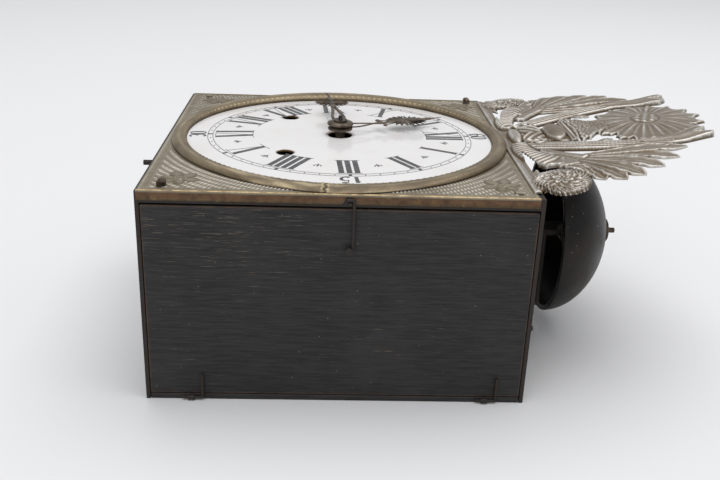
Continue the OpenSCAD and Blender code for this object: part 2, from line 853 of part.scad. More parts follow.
// One side of the pediment: horn, stems, forked end, leaf and roundel
module pediment_side() {
    stretch = ped_len / 145;
    beaten_rib(ped_curve([[7, 24], [9.5, 48], [22, 71]]), [6, 7, 8, 9, 9.5], [3, 3.6, 3.8, 3.8, 3.6]);
    beaten_rib(ped_curve([[20, 62], [27, 68], [30, 78]]), [8.5, 8.5, 8], [2.6, 2.8, 2.4]);
    beaten_rib(ped_curve([[20, 43], [31, 56], [43, 66]]), [4.6, 4.7, 4.8], [2.8, 2.8, 2.6]);
    beaten_rib(ped_curve([[20, 27], [58, 42], [98, 53]]), [7.5, 7.6, 7.8, 7.9, 8], [2, 2, 2, 2, 2]);
    beaten_rib(ped_curve([[30, 66], [62, 61], [96, 58]]), [7, 7.5, 8, 8.5, 9], [1.6, 1.6, 1.6, 1.6, 1.6]);
    beaten_rib(ped_curve([[90, 48], [112, 47], [135, 40]]), [4.5, 5, 5, 4.6, 3.6], [2.4, 2.4, 3, 4, 4.6]);
    beaten_rib(ped_curve([[90, 55], [112, 54], [137, 50]]), [4.5, 5, 5, 4.6, 3.6], [2.4, 2.4, 3, 4, 4.6]);
    for (lobe = ped_lobes)
        beaten_rib(ped_curve([lobe[0], lobe[1], lobe[2]]), stretch * lobe_half(lobe[3]), [2, 2.2, 2.2, 1.8, 1.2, 0.4]);
    beaten_rib(ped_curve([[26, 80], [33, 84], [40, 92]]), [2, 5, 6, 5, 0.8], [3, 3.4, 3.4, 2.4, 1]);
    translate(ped_at(21, 23))
        mound(6, 6, boss_h);
    translate(ped_at(19, 103)) {
        linear_extrude(ped_t)
            flower(roundel_r - 1, 2, 17);
        mound(roundel_r * 0.86, roundel_r * 0.9, ped_t + 3);
    }
}

// Sunflower at the top: a disc with pointed petals round a raised heart
module pediment_rosette() {
    petals = 17;
    cylinder(r = rosette_r * 0.78, h = ped_t, $fn = 2 * petals);
    mound(rosette_r * 0.24, rosette_r * 0.24, ped_t + boss_h * 0.7);
    for (i = [0 : petals - 1])
        beaten_rib([for (t = [0.15, 0.575, 1]) polar(rosette_r * t, 360 * i / petals)],
            rosette_r * [0.035, 0.075, 0.112, 0.13, 0.015], [1.6, 2, 1.8, 1.4, 0.4]);
}

// Stamped brass pediment: a foot on the top edge of the front and the tilted sheet, beaten from behind and pierced
module pediment() {
    color(old_brass) {
        block([front_x + 0.2, -ped_half, sheet_top], [front_x + 3, ped_half, sheet_top + ped_t]);
        translate([front_x, 0, sheet_top])
            rotate([0, -ped_tilt, 0]) {
                linear_extrude(ped_t)
                    difference() {
                        polygon([ped_at(0, -114), ped_at(9, -114), ped_at(9, 114), ped_at(0, 114)]);
                        for (side = [-1, 1])
                            polygon([ped_at(4.2, 40 * side), ped_at(9.5, 70 * side), ped_at(4.6, 82 * side)]);
                    }
                pediment_middle();
                translate([ped_len - rosette_r, 0, 0])
                    pediment_rosette();
                for (side = [0, 1])
                    mirror([0, side, 0])
                        pediment_side();
            }
    }
}

// Square-headed studs at the corners of the brass front
module corner_studs() {
    color(iron)
        for (x = [-stud_x, stud_x], y = [-stud_y, stud_y])
            translate([x, y, sheet_top]) {
                translate([0, 0, -sheet_t - stud_depth])
                    cylinder(r = stud_shank_r, h = sheet_t + stud_depth);
                translate([-stud_head / 2, -stud_head / 2, 0])
                    cube([stud_head, stud_head, stud_head_t]);
                translate([0, 0, stud_head_t])
                    cylinder(r1 = stud_head / 2, r2 = stud_head / 4, h = 2);
            }
}

base_pin_in = 68;
base_pin_out = 7;
base_pin_y = base_pin_in - door_out;
base_pin_z = (frame_back + case_d) / 2;
base_pin_r = 1.75;
top_pin_in = 20;
top_pin_out = 6;
top_pin_y = top_pin_in - door_out;
top_pin_z = 46;

// Pins that stand out of the bottom edge and of the top plate
module case_pins() {
    color(iron) {
        translate([0, base_pin_y, base_pin_z])
            rod_x(base_pin_r, -plate_out - base_pin_out, -frame_open_x);
        translate([0, top_pin_y, top_pin_z])
            rod_x(base_pin_r, plate_out, plate_out + top_pin_out);
    }
}

// Studs that the latches hook over
module latch_studs() {
    color(iron)
        both_sides()
            translate([latch_x, 0, latch_stud_z])
                rod_y(latch_stud_r, frame_open_y, latch_y + wire_r);
}

// Iron post that carries the bell, with a foot under its shoulder and a threaded end
module bell_stand() {
    shoulder = rim_x + bell_inside(stand_r) - 0.05;
    color(iron)
        translate([0, 0, bell_z]) {
            rod_x(stand_r, plate_in, shoulder);
            rod_x(stand_r * 2, plate_out, plate_out + 3);
            rod_x(stand_thread_r, shoulder - 1, crown_x + bell_washer_t + nut_t + 3);
        }
}

// Height inside the bell, over its rim, at a distance r from its axis
function bell_inside(r) = (bell_h - bell_wall)
    * pow(1 - pow(r / (bell_r - bell_wall), bell_power), 1 / bell_power);

// Profile of the bell: a quarter of a superellipse from rim to crown
function bell_curve(r, h) = [for (i = [0 : 20])
    let (t = 90 * i / 20) [r * pow(cos(t), 2 / bell_power), h * pow(sin(t), 2 / bell_power)]];

// Turned bell with its mouth towards the top plate
module bell() {
    outer = bell_curve(bell_r, bell_h);
    inner = bell_curve(bell_r - bell_wall, bell_h - bell_wall);
    color(bell_metal)
        translate([rim_x, 0, bell_z])
            rotate([0, 90, 0])
                difference() {
                    rotate_extrude($fn = 128)
                        polygon(concat(outer, [for (i = [20 : -1 : 0]) inner[i]]));
                    cylinder(r = stand_thread_r, h = 2 * bell_h);
                }
}

// Washer and square nut on the bell's crown
module bell_nut() {
    color(steel)
        translate([crown_x, 0, bell_z])
            difference() {
                union() {
                    rod_x(8.5, 0, bell_washer_t);
                    translate([bell_washer_t, -5, -5])
                        cube([nut_t, 10, 10]);
                }
                rod_x(stand_thread_r, -1, 20);
            }
}

// A plain wooden door for the right side
module door_panel() {
    color(black_wood)
        difference() {
            block([-plate_in + door_gap, -door_out, door_low], [plate_in - door_gap, -door_in, door_high]);
            translate([latch_x, 0, latch_z])
                rod_y(wire_r, -door_out - 1, -door_in + 1);
        }
}

// Bent hinge wires and the latch's pivot nail on the right door
module door_wires() {
    color(iron) {
        for (x = [hinge_low_x, hinge_high_x]) {
            translate([x, -hinge_y + 0.15, hinge_z])
                cylinder(r = wire_r, h = hinge_leg);
            translate([x, -hinge_y, hinge_z])
                rod_x(wire_r, -hinge_pivot, 0);
            translate([x, -hinge_y, hinge_z])
                sphere(wire_r + 0.14);
        }
        translate([latch_x, 0, latch_z]) {
            rod_y(wire_r, -latch_y - wire_r - latch_gap, -door_in);
            rod_y(nail_head_r, -latch_y - wire_r - latch_gap - 0.8, -latch_y - wire_r - latch_gap);
        }
    }
}

// Wire latch: an eye round the nail, a straight shank and a finger over the stud
module latch() {
    shank_x = latch_stud_r + latch_gap + wire_r;
    finger = shank_x + latch_stud_r + wire_r;
    color(iron)
        translate([latch_x, -latch_y, latch_z])
            difference() {
                union() {
                    rod_y(wire_r + 1.3, -wire_r, wire_r);
                    translate([shank_x, 0, 0])
                        cylinder(r = wire_r, h = latch_end_z - latch_z);
                    translate([shank_x, 0, 0])
                        rod_x(wire_r, -shank_x, 0);
                    translate([shank_x, 0, 0])
                        sphere(wire_r);
                    translate([shank_x, 0, latch_end_z - latch_z])
                        sphere(wire_r);
                    translate([shank_x, 0, latch_end_z - latch_z])
                        rod_x(wire_r, -finger, 0);
                }
                rod_y(wire_r + run, -2 * wire_r, 2 * wire_r);
            }
}

module right_door() {
    door_panel();
}

module right_hinge_wires() {
    door_wires();
}

module right_latch() {
    latch();
}

module left_door() {
    mirror([0, 1, 0])
        door_panel();
}

module left_hinge_wires() {
    mirror([0, 1, 0])
        door_wires();
}

module left_latch() {
    mirror([0, 1, 0])
        latch();
}

// Great wheel that turns on its winding arbor, with the stud of its click
module great_wheel(side) {
    color(brass)
        translate([wind_x, side * wind_y, great_z]) {
            wheel(great_teeth, great_m, great_t, wind_r + run, 14);
            translate([click_r, 0, -ratchet_t])
                cylinder(r = 1.5, h = ratchet_t);
        }
}

click_r = ratchet_r + 7;

// Spring click: a curved steel blade from its stud to the ratchet's teeth
module click(side) {
    tip_a = 50;
    gap = 0.4;
    steps = 8;
    spine = [for (i = [0 : steps]) let (t = i / steps) polar(click_r - (click_r - ratchet_r - gap - 0.6) * t, tip_a * t)];
    color(steel)
        translate([wind_x, side * wind_y, ratchet_z])
            difference() {
                linear_extrude(ratchet_t)
                    union() {
                        translate([click_r, 0])
                            circle(3);
                        polygon(concat([for (p = spine) p * (1 + 0.6 / click_r)],
                            [for (i = [steps : -1 : 0]) spine[i] * (1 - 0.6 / click_r)]));
                    }
                translate([click_r, 0, -1])
                    cylinder(r = 1.5, h = ratchet_t + 2);
            }
}

// Winding arbor with its square, collar and ratchet
module winding_arbor(side) {
    square_low = front_z + 3;
    color(steel)
        translate([wind_x, side * wind_y, 0]) {
            translate([0, 0, rear_in + shake])
                cylinder(r = wind_r, h = square_low - rear_in - shake);
            translate([0, 0, rear_z])
                cylinder(r = pivot_r * 1.6, h = bar_t + 1);
            translate([-square_w / 2, -square_w / 2, square_low])
                cube([square_w, square_w, frame_back + 3 - square_low]);
            translate([0, 0, great_z + great_t + shake])
                cylinder(r = wind_r + 3, h = 2);
            translate([0, 0, ratchet_z])
                linear_extrude(ratchet_t)
                    polygon([for (k = [0 : ratchet_teeth - 1])
                        for (p = [[ratchet_r, 0], [ratchet_r - 2.2, 0.15]])
                            polar(p[0], 360 / ratchet_teeth * (k + p[1]))]);
        }
}

// Rope drum with end flanges, fixed on the winding arbor
module drum(side) {
    color(brass)
        translate([wind_x, side * wind_y, drum_z])
            difference() {
                union() {
                    cylinder(r = drum_r, h = drum_len);
                    cylinder(r = drum_flange_r, h = drum_flange);
                    translate([0, 0, drum_len - drum_flange])
                        cylinder(r = drum_flange_r, h = drum_flange);
                }
                translate([0, 0, -1])
                    cylinder(r = wind_r, h = drum_len + 2);
            }
}

module going_great_wheel() {
    great_wheel(1);
}

module going_click() {
    click(1);
}

module going_winding_arbor() {
    winding_arbor(1);
}

module going_drum() {
    drum(1);
}

// Second arbor: its front end passes the bar and carries the driving wheel
module second_arbor() {
    color(steel)
        translate([second_x, wind_y, 0]) {
            arbor(arbor_r, rear_in, front_in, great_z - 1.5, great_m, meshed(great_teeth, 0, leaves, 0));
            translate([0, 0, front_in - 1])
                cylinder(r = arbor_r, h = drive_z + wheel_t + 1 - front_in + 1);
        }
}

// Second wheel and driving wheel
module second_wheels() {
    color(brass)
        translate([second_x, wind_y, 0]) {
            translate([0, 0, second_z])
                wheel(second_teeth, second_m, wheel_t, arbor_r, 7);
            translate([0, 0, drive_z])
                wheel(minute_teeth, drive_m, wheel_t, arbor_r, 7);
        }
}

module third_arbor() {
    color(steel)
        translate([third_p[0], third_p[1], 0])
            arbor(arbor_r, rear_in + bar_t, front_in - bar_t, second_z - 2, second_m,
                meshed(second_teeth, 0, leaves, slope));
}

module third_wheel() {
    color(brass)
        translate([third_p[0], third_p[1], third_z])
            wheel(third_teeth, third_m, wheel_t, arbor_r, 6);
}

module escape_arbor() {
    color(steel)
        translate([escape_p[0], escape_p[1], 0])
            arbor(fast_r, rear_in + bar_t, front_in - bar_t, third_z - 2, third_m,
                meshed(third_teeth, 0, leaves, slope));
}

// Escape wheel with raked teeth
module escape_wheel() {
    color(brass)
        translate([escape_p[0], escape_p[1], escape_z])
            linear_extrude(wheel_t)
                difference() {
                    polygon([for (k = [0 : escape_teeth - 1])
                        for (p = [[escape_r, 0], [escape_r, 0.1], [escape_r - 4, 0.45], [escape_r - 4, 0.85]])
                            polar(p[0], 360 / escape_teeth * (k + p[1]))]);
                    difference() {
                        circle(escape_r - 7);
                        circle(5);
                        for (a = [0, 90])
                            rotate(a)
                                square([2 * escape_r, 4], center = true);
                    }
                    circle(fast_r);
                }
}

// Anchor on its arbor: two arms whose pallets stand just clear of the escape wheel
module anchor() {
    reach = escape_r + pallet_gap;
    spread = asin(reach / anchor_dist);
    arm = sqrt(pow(anchor_dist, 2) - pow(reach, 2));
    color(steel)
        translate([anchor_p[0], anchor_p[1], 0]) {
            translate([0, 0, rear_in + bar_t + shake])
                cylinder(r = arbor_r, h = front_in - rear_in - 2 * bar_t - 2 * shake);
            translate([0, 0, crutch_z])
                cylinder(r = pivot_r, h = front_in - crutch_z);
            translate([0, 0, escape_z])
                linear_extrude(wheel_t)
                    difference() {
                        union() {
                            circle(6);
                            for (side = [-1, 1])
                                rotate(slope + 180 + side * spread)
                                    translate([0, side > 0 ? -1 : -4])
                                        square([arm + 2, 5]);
                        }
                        rotate(slope + 180)
                            translate([anchor_dist, 0])
                                circle(reach);
                    }
        }
}

crutch_back = 9;
crutch_z = rear_z - crutch_back;
crutch_len = 46;
fork_len = 12;
fork_w = 10;
fork_slot = 4;

// Crutch on the rear end of the anchor arbor, with a fork for the pendulum
module crutch() {
    len = crutch_len;
    thick = bar_t;
    color(steel)
        translate([anchor_p[0], anchor_p[1], crutch_z])
            difference() {
                union() {
                    cylinder(r = 4, h = thick);
                    translate([-len, -1.5, 0])
                        cube([len, 3, thick]);
                    translate([-len - fork_w, -fork_w / 2, 0])
                        cube([fork_len, fork_w, thick]);
                }
                translate([0, 0, -1])
                    cylinder(r = pivot_r, h = thick + 2);
                translate([-len - fork_w - 1, -fork_slot / 2, -1])
                    cube([fork_len - fork_slot / 2, fork_slot, thick + 2]);
            }
}

// Minute pipe with the pinion of the motion work
module minute_pipe() {
    color(brass)
        difference() {
            union() {
                translate([0, 0, front_z + shake])
                    cylinder(r = minute_pipe_r, h = minute_hand_z + hand_t - front_z - shake);
                translate([0, 0, reverse_z - 1])
                    rotate(meshed(4 * cannon_leaves - cannon_leaves, 0, cannon_leaves, 0))
                        linear_extrude(wheel_t + 2)
                            pinion_teeth(cannon_leaves, cannon_m);
            }
            cylinder(r = stud_r + run, h = 2 * case_d);
        }
}

module minute_wheel() {
    phi = atan2(-wind_y, -second_x);
    color(brass)
        translate([0, 0, drive_z])
            rotate(meshed(minute_teeth, 0, minute_teeth, phi))
                wheel(minute_teeth, drive_m, wheel_t, minute_pipe_r, 7);
}

// Outline of a hand along +X: forked shank, cross piece, rayed sun and pointed tip
module hand_outline(len, sun_at) {
    fork = sun_at - sun_r * 0.7;
    for (side = [-1, 1])
        polygon([[collet_r - 2, side * 5.2], [collet_r - 2, side * 3.6], [fork, side * 1.6], [fork, side * 3]]);
    translate([fork * 0.72, 0])
        square([4, 11], center = true);
    translate([sun_at, 0])
        flower(sun_r, 5, 20);
    polygon([[sun_at, -3.4], [len, -0.4], [len, 0.4], [sun_at, 3.4]]);
}

// A hand with its collet, bored for its pipe
module hand(len, sun_at, bore) {
    difference() {
        union() {
            linear_extrude(hand_t)
                union() {
                    hand_outline(len, sun_at);
                    circle(collet_r);
                }
            translate([0, 0, -collet_t])
                cylinder(r = collet_r, h = collet_t);
        }
        translate([0, 0, -collet_t - 1])
            cylinder(r = bore, h = collet_t + hand_t + 2);
    }
}

module minute_hand() {
    color(old_brass)
        translate([0, 0, minute_hand_z])
            rotate(minute_angle)
                hand(minute_len, minute_len - 33, minute_pipe_r);
}

// Washer over the minute hand
module hand_washer() {
    color(brass)
        translate([0, 0, washer_z])
            difference() {
                cylinder(r = 5, h = washer_t);
                translate([0, 0, -1])
                    cylinder(r = stud_r + run, h = washer_t + 2);
            }
}

// Taper pin through the end of the stud
module hand_pin() {
    color(steel)
        translate([0, 0, hand_pin_z])
            rotate(minute_angle)
                rod_x(hand_pin_r, -5, 6);
}

// Reverse wheel and its pinion in one piece on the reverse stud
module reverse_wheel() {
    teeth_n = 3 * cannon_leaves;
    color(brass)
        translate([-reverse_dist, 0, 0])
            difference() {
                union() {
                    translate([0, 0, reverse_z])
                        linear_extrude(wheel_t)
                            wheel_teeth(teeth_n, cannon_m);
                    translate([0, 0, reverse_z + wheel_t - 0.5])
                        rotate(meshed(4 * reverse_leaves, 0, reverse_leaves, 180))
                            linear_extrude(hour_z + 1 - reverse_z)
                                pinion_teeth(reverse_leaves, reverse_m);
                }
                translate([0, 0, front_z])
                    cylinder(r = stud_r + run, h = case_d);
            }
}

// Hour pipe on the minute pipe
module hour_pipe() {
    color(brass)
        translate([0, 0, hour_z - 0.5])
            difference() {
                cylinder(r = hour_pipe_r, h = hour_hand_z + hand_t - hour_z + 0.5);
                translate([0, 0, -1])
                    cylinder(r = minute_pipe_r + run, h = case_d);
            }
}

// Hour wheel and the stepped snail that sets the strokes
module hour_wheel() {
    drop = 0.75;
    color(brass) {
        translate([0, 0, hour_z])
            wheel(4 * reverse_leaves, reverse_m, wheel_t, hour_pipe_r, 7);
        translate([0, 0, snail_z])
            linear_extrude(wheel_t)
                difference() {
                    polygon([for (k = [0 : 11])
                        for (a = [0, 10, 20, 29])
                            polar(snail_r - drop * k, 30 * k + a)]);
                    circle(hour_pipe_r);
                }
    }
}

module hour_hand() {
    color(old_brass)
        translate([0, 0, hour_hand_z])
            rotate(hour_angle)
                hand(hour_len, hour_len - 31, hour_pipe_r);
}

module strike_great_wheel() {
    great_wheel(-1);
}

module strike_click() {
    click(-1);
}

module strike_winding_arbor() {
    winding_arbor(-1);
}

module strike_drum() {
    drum(-1);
}

module pin_wheel_arbor() {
    color(steel)
        translate([second_x, -wind_y, 0])
            arbor(arbor_r, rear_in, front_in, great_z - 1.5, great_m, meshed(great_teeth, 0, leaves, 0));
}

// Pin wheel with the pins that lift the hammer
module pin_wheel() {
    color(brass)
        translate([second_x, -wind_y, second_z]) {
            wheel(second_teeth, second_m, wheel_t, arbor_r, pin_circle + 3);
            for (k = [0 : lift_pins - 1])
                rotate(360 / lift_pins * (k + 0.5))
                    translate([pin_circle, 0, -pin_len])
                        cylinder(r = pin_r, h = pin_len);
        }
}

// Strike third wheel on its arbor
module strike_third_wheel() {
    color(brass)
        translate([strike_third_x, -wind_y, 0]) {
            arbor(arbor_r, rear_in, front_in, second_z - 2, second_m, meshed(second_teeth, 0, leaves, 0));
            translate([0, 0, third_z])
                wheel(third_teeth, third_m, wheel_t, arbor_r, 6);
        }
}

fly_t = 1.2;
fly_low = 8;
fly_high = 10;

// Fly: two vanes on the last arbor of the strike train
module fly() {
    color(steel)
        translate([fly_x, -wind_y, 0]) {
            arbor(fast_r, rear_in, front_in, third_z - 2, third_m, meshed(third_teeth, 0, leaves, 0));
            translate([-fly_t / 2, -fly_r, third_z + fly_low])
                cube([fly_t, 2 * fly_r, front_in - fly_high - third_z - fly_low]);
        }
}

// Hammer: upright arbor, lifting tail, arm under the bell's rim and head inside it
module hammer() {
    tail_x = second_x + pin_circle + pin_r + 0.8;
    head_z = hammer_arm;
    head_end = 10.5;
    color(iron)
        translate([0, -hammer_y, hammer_z]) {
            rod_x(arbor_r, hammer_low + shake, hammer_top);
            rod_x(pivot_r, hammer_low - bar_t, hammer_low + 1);
            block([tail_x, 1 - tail_len, -hammer_r], [tail_x + tail_t, 1, tail_w - hammer_r]);
            translate([hammer_top, 0, 0])
                cylinder(r = hammer_r, h = hammer_arm);
            translate([hammer_top, 0, 0])
                sphere(arbor_r);
            translate([hammer_top, 0, hammer_arm])
                sphere(hammer_r);
            translate([0, 0, head_z])
                rod_x(hammer_r, hammer_top, rim_x + head_in);
            translate([rim_x + head_in, 0, head_z])
                rod_y(5, -head_end, hammer_head - head_end);
        }
}

// Toothed strike rack with its feeler above the snail
module rack() {
    y = -wind_y;
    low = rack_low;
    high = plate_in - rack_top_gap;
    color(steel)
        translate([0, 0, rack_z])
            union() {
                linear_extrude(rack_t)
                    difference() {
                        translate([low, y - rack_w / 2])
                            square([high - low, rack_w]);
                        for (x = rack_stud_x)
                            hull_slot(x, y, rack_stud_r + 0.3, rack_travel);
                        for (k = [0 : rack_teeth - 1])
                            translate([low + rack_first + rack_pitch * k, y - rack_w / 2])
                                polygon([[0, -1], [0, 1.6], [rack_pitch * 0.8, -1]]);
                    }
                block([low, y + rack_w / 2 - 3, rack_t - 0.5], [low + 4, y + rack_w / 2, feeler_z - rack_z + wheel_t]);
                block([low, y + rack_w / 2 - 3, feeler_z - rack_z], [low + 4, -4, feeler_z - rack_z + wheel_t]);
            }
}

// A slot with round ends from x towards the top, for the rack's studs
module hull_slot(x, y, r, len) {
    translate([x, y])
        circle(r);
    translate([x + len, y])
        circle(r);
    translate([x, y - r])
        square([len, 2 * r]);
}

bottom_plate();
top_plate();
corner_posts();
front_frame();
back_board();
hinge_eyes();
board_screws();
front_bars();
rear_bars();
train_cocks();
motion_studs();
suspension_cock();
hammer_cock();
front_plate();
dial_ring();
enamel_dial();
pediment();
corner_studs();
case_pins();
latch_studs();
bell_stand();
bell();
bell_nut();
right_door();
right_hinge_wires();
right_latch();
left_door();
left_hinge_wires();
left_latch();
going_great_wheel();
going_click();
going_winding_arbor();
going_drum();
second_arbor();
second_wheels();
third_arbor();
third_wheel();
escape_arbor();
escape_wheel();
anchor();
crutch();
minute_pipe();
minute_wheel();
minute_hand();
hand_washer();
hand_pin();
reverse_wheel();
hour_pipe();
hour_wheel();
hour_hand();
strike_great_wheel();
strike_click();
strike_winding_arbor();
strike_drum();
pin_wheel_arbor();
pin_wheel();
strike_third_wheel();
fly();
hammer();
rack();
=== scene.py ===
# %% [markdown]
# # A comtoise clock, lying on its back
#
# The clock is an iron cage with black wooden doors, a stamped brass front, a domed enamel dial and a bell.
# All of it was built as solids first, so this lesson only dresses those solids: it loads them as a fixed
# frame and lays finer surfaces and finishes over them, in the same place and in metres.

# %% Load the solid model
import json
import math

import bpy
import numpy as np
from mathutils import Matrix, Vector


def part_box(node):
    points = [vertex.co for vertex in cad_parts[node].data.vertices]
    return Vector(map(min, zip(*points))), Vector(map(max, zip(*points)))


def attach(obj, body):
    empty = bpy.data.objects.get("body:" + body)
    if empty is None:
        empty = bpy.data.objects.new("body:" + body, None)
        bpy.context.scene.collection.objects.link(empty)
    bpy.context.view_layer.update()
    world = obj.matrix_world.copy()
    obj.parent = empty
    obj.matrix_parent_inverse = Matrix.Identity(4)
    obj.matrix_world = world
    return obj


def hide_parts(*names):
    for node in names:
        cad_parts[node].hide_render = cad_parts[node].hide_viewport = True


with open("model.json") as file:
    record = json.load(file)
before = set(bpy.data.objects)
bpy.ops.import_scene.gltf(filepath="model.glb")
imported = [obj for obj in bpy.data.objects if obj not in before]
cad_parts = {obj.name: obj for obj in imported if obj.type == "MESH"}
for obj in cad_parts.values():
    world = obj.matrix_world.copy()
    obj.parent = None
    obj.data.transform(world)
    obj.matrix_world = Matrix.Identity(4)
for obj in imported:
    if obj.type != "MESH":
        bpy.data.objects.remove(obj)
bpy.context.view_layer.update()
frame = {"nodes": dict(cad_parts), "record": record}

MM = 0.001

# %% [markdown]
# ## Camera
#
# The camera stands on the side of the clock where the III is, a little above it, with the whole clock in
# view. Its place and its three turns came from matching corners of the case, so nothing else has to be
# tuned by eye.

# %% Camera
IMAGE_WIDTH = 720
FOCAL_PIXELS = 889.41
SENSOR = 36.0
YAW, PITCH, ROLL = 0.04626, 0.38928, 0.03830
EYE = (-11.695 * MM, -634.022 * MM, 324.085 * MM)


def stand_at(holder, place, axes):
    """Puts a camera or lamp at place with its own X, Y and Z along the three axes."""
    turn = Matrix(np.stack(axes, axis=1).tolist()).to_4x4()
    holder.matrix_world = Matrix.Translation(place) @ turn
    bpy.context.collection.objects.link(holder)


ahead = np.array([math.sin(YAW) * math.cos(PITCH), math.cos(YAW) * math.cos(PITCH), -math.sin(PITCH)])
level = np.array([math.cos(YAW), -math.sin(YAW), 0.0])
upward = np.cross(level, ahead)
side = math.cos(ROLL) * level + math.sin(ROLL) * upward
over = -math.sin(ROLL) * level + math.cos(ROLL) * upward

lens = bpy.data.cameras.new("camera")
lens.sensor_width = SENSOR
lens.sensor_fit = "HORIZONTAL"
lens.lens = FOCAL_PIXELS / IMAGE_WIDTH * SENSOR
lens.clip_start = 0.01
camera = bpy.data.objects.new("camera", lens)
stand_at(camera, EYE, [side, over, -ahead])
bpy.context.scene.camera = camera
print("lens:", round(lens.lens, 2), "mm")

# %% [markdown]
# ## Building with nodes
#
# A material is a tree of nodes, and so is an effect that several materials share. The few nodes that come
# back all the time, such as a noise, a smooth ramp or a mix of two colours, get a short name here, so
# that a finish reads like a recipe.


# %% Node helpers
def srgb(red, green, blue):
    """Turns a colour written as 0 to 255 into the linear values that shaders use."""
    share = np.array([red, green, blue]) / 255.0
    linear = np.where(share <= 0.04045, share / 12.92, ((share + 0.055) / 1.055) ** 2.4)
    return (*linear.tolist(), 1.0)


class Nodes:
    """A node tree under construction."""

    def __init__(self, tree):
        self.tree = tree

    def fill(self, made, inputs):
        """Sets a node's inputs, or links those that are given as another node's output."""
        for key, value in inputs.items():
            if isinstance(value, bpy.types.NodeSocket):
                self.tree.links.new(value, made.inputs[key])
            else:
                made.inputs[key].default_value = value

    def add(self, kind, inputs=None, **settings):
        """Adds one node with its settings and inputs."""
        made = self.tree.nodes.new("ShaderNode" + kind)
        for key, value in settings.items():
            setattr(made, key, value)
        self.fill(made, inputs or {})
        return made

    def noise(self, vector, scale, detail, roughness=0.5):
        """Cloudy noise about 0.5."""
        inputs = {"Vector": vector, "Scale": scale, "Detail": detail, "Roughness": roughness}
        return self.add("TexNoise", inputs).outputs[0]

    def ramp(self, value, low, high):
        """Rises smoothly from 0 where value is low to 1 where it is high."""
        inputs = {"Value": value, "From Min": low, "From Max": high}
        return self.add("MapRange", inputs, interpolation_type="SMOOTHSTEP").outputs["Result"]

    def mix(self, share, first, second):
        """Goes from the first colour to the second as share goes from 0 to 1."""
        return self.add("Mix", {0: share, 6: first, 7: second}, data_type="RGBA").outputs[2]

    def calc(self, work, first, second=0.0):
        """Does one sum on two values."""
        return self.add("Math", {0: first, 1: second}, operation=work).outputs[0]

    def vector(self, work, first, second=(0.0, 0.0, 0.0)):
        """Does one sum on two vectors."""
        return self.add("VectorMath", {0: first, 1: second}, operation=work).outputs[0]


class Finish(Nodes):
    """A material under construction, with one Principled shader and the piece's own place in metres."""

    def __init__(self, name):
        self.material = bpy.data.materials.new(name)
        self.material.use_nodes = True
        super().__init__(self.material.node_tree)
        self.tree.nodes.clear()
        output = self.add("OutputMaterial")
        self.shader = self.add("BsdfPrincipled")
        self.tree.links.new(self.shader.outputs["BSDF"], output.inputs["Surface"])
        self.place = self.add("TexCoord").outputs["Object"]

    def effect(self, shared, **inputs):
        """Places a shared effect, on the piece's own place where it takes a vector."""
        made = self.add("Group", node_tree=shared.tree)
        if "Vector" in made.inputs:
            self.tree.links.new(self.place, made.inputs["Vector"])
        self.fill(made, inputs)
        return made.outputs[0]

    def relief(self):
        """The value that the mesh carries: its height, 0 in a hollow and 1 on a crest; on the dial ring and
        the folded sides it also holds painted highlight and painted shade.
        """
        return self.add("Attribute", attribute_name="relief").outputs["Fac"]

    def cover(self, tone, colour, mask, amount):
        """Lays a colour over the tone where the mask is, as strong as the amount."""
        return self.mix(self.calc("MULTIPLY", mask, amount), tone, srgb(*colour))

    def shade(self, inputs):
        """Sets or links inputs of the shader itself."""
        self.fill(self.shader, inputs)

    def gloss(self, value, low, high):
        """Roughness runs from low to high as value goes from 0 to 1."""
        made = self.add("MapRange", {"Value": value, "To Min": low, "To Max": high})
        self.shade({"Roughness": made.outputs["Result"]})

    def bump(self, height, depth, strength=0.5):
        """A bump of the given depth in metres."""
        made = self.add("Bump", {"Height": height, "Distance": depth, "Strength": strength})
        self.shade({"Normal": made.outputs["Normal"]})


print("node helpers ready")

# %% [markdown]
# ## Floor and light
#
# A pale table carries the clock. Soft light comes from everywhere and a broad lamp above gives the shadow a
# side. The levels are low enough that a colour renders about as it is written.

# %% Floor and light
FLOOR_HALF = 4.0
AIM = (0.05, 0.0, 0.1)
bpy.context.scene.view_settings.view_transform = "Standard"
world = bpy.data.worlds.new("soft_room")
world.use_nodes = True
world.node_tree.nodes["Background"].inputs["Color"].default_value = (0.97, 0.98, 1.0, 1.0)
world.node_tree.nodes["Background"].inputs["Strength"].default_value = 0.58
bpy.context.scene.world = world


def soft_lamp(name, place, size, power):
    """Hangs a square lamp at place, turned so that it shines towards the clock."""
    lamp = bpy.data.lights.new(name, "AREA")
    lamp.size = size
    lamp.energy = power
    axis = np.array(place) - np.array(AIM)
    axis = axis / np.linalg.norm(axis)
    flat = np.cross([0.0, 1.0, 0.0], axis)
    flat = flat / np.linalg.norm(flat)
    stand_at(bpy.data.objects.new(name, lamp), place, [flat, np.cross(axis, flat), axis])


soft_lamp("lamp_above", (0.5, 0.3, 3.0), 2.8, 58.0)
soft_lamp("lamp_front", (-1.0, -2.6, 1.8), 2.2, 17.0)

floor_mesh = bpy.data.meshes.new("floor")
corners = [(-FLOOR_HALF, -FLOOR_HALF, 0), (FLOOR_HALF, -FLOOR_HALF, 0),
           (FLOOR_HALF, FLOOR_HALF, 0), (-FLOOR_HALF, FLOOR_HALF, 0)]
floor_mesh.from_pydata(corners, [], [(0, 1, 2, 3)])
pale = Finish("floor")
pale.shade({"Base Color": srgb(231, 231, 232), "Roughness": 0.9})
floor_mesh.materials.append(pale.material)
floor = bpy.data.objects.new("floor", floor_mesh)
bpy.context.collection.objects.link(floor)
print("floor and", len(bpy.data.lights), "lamps")
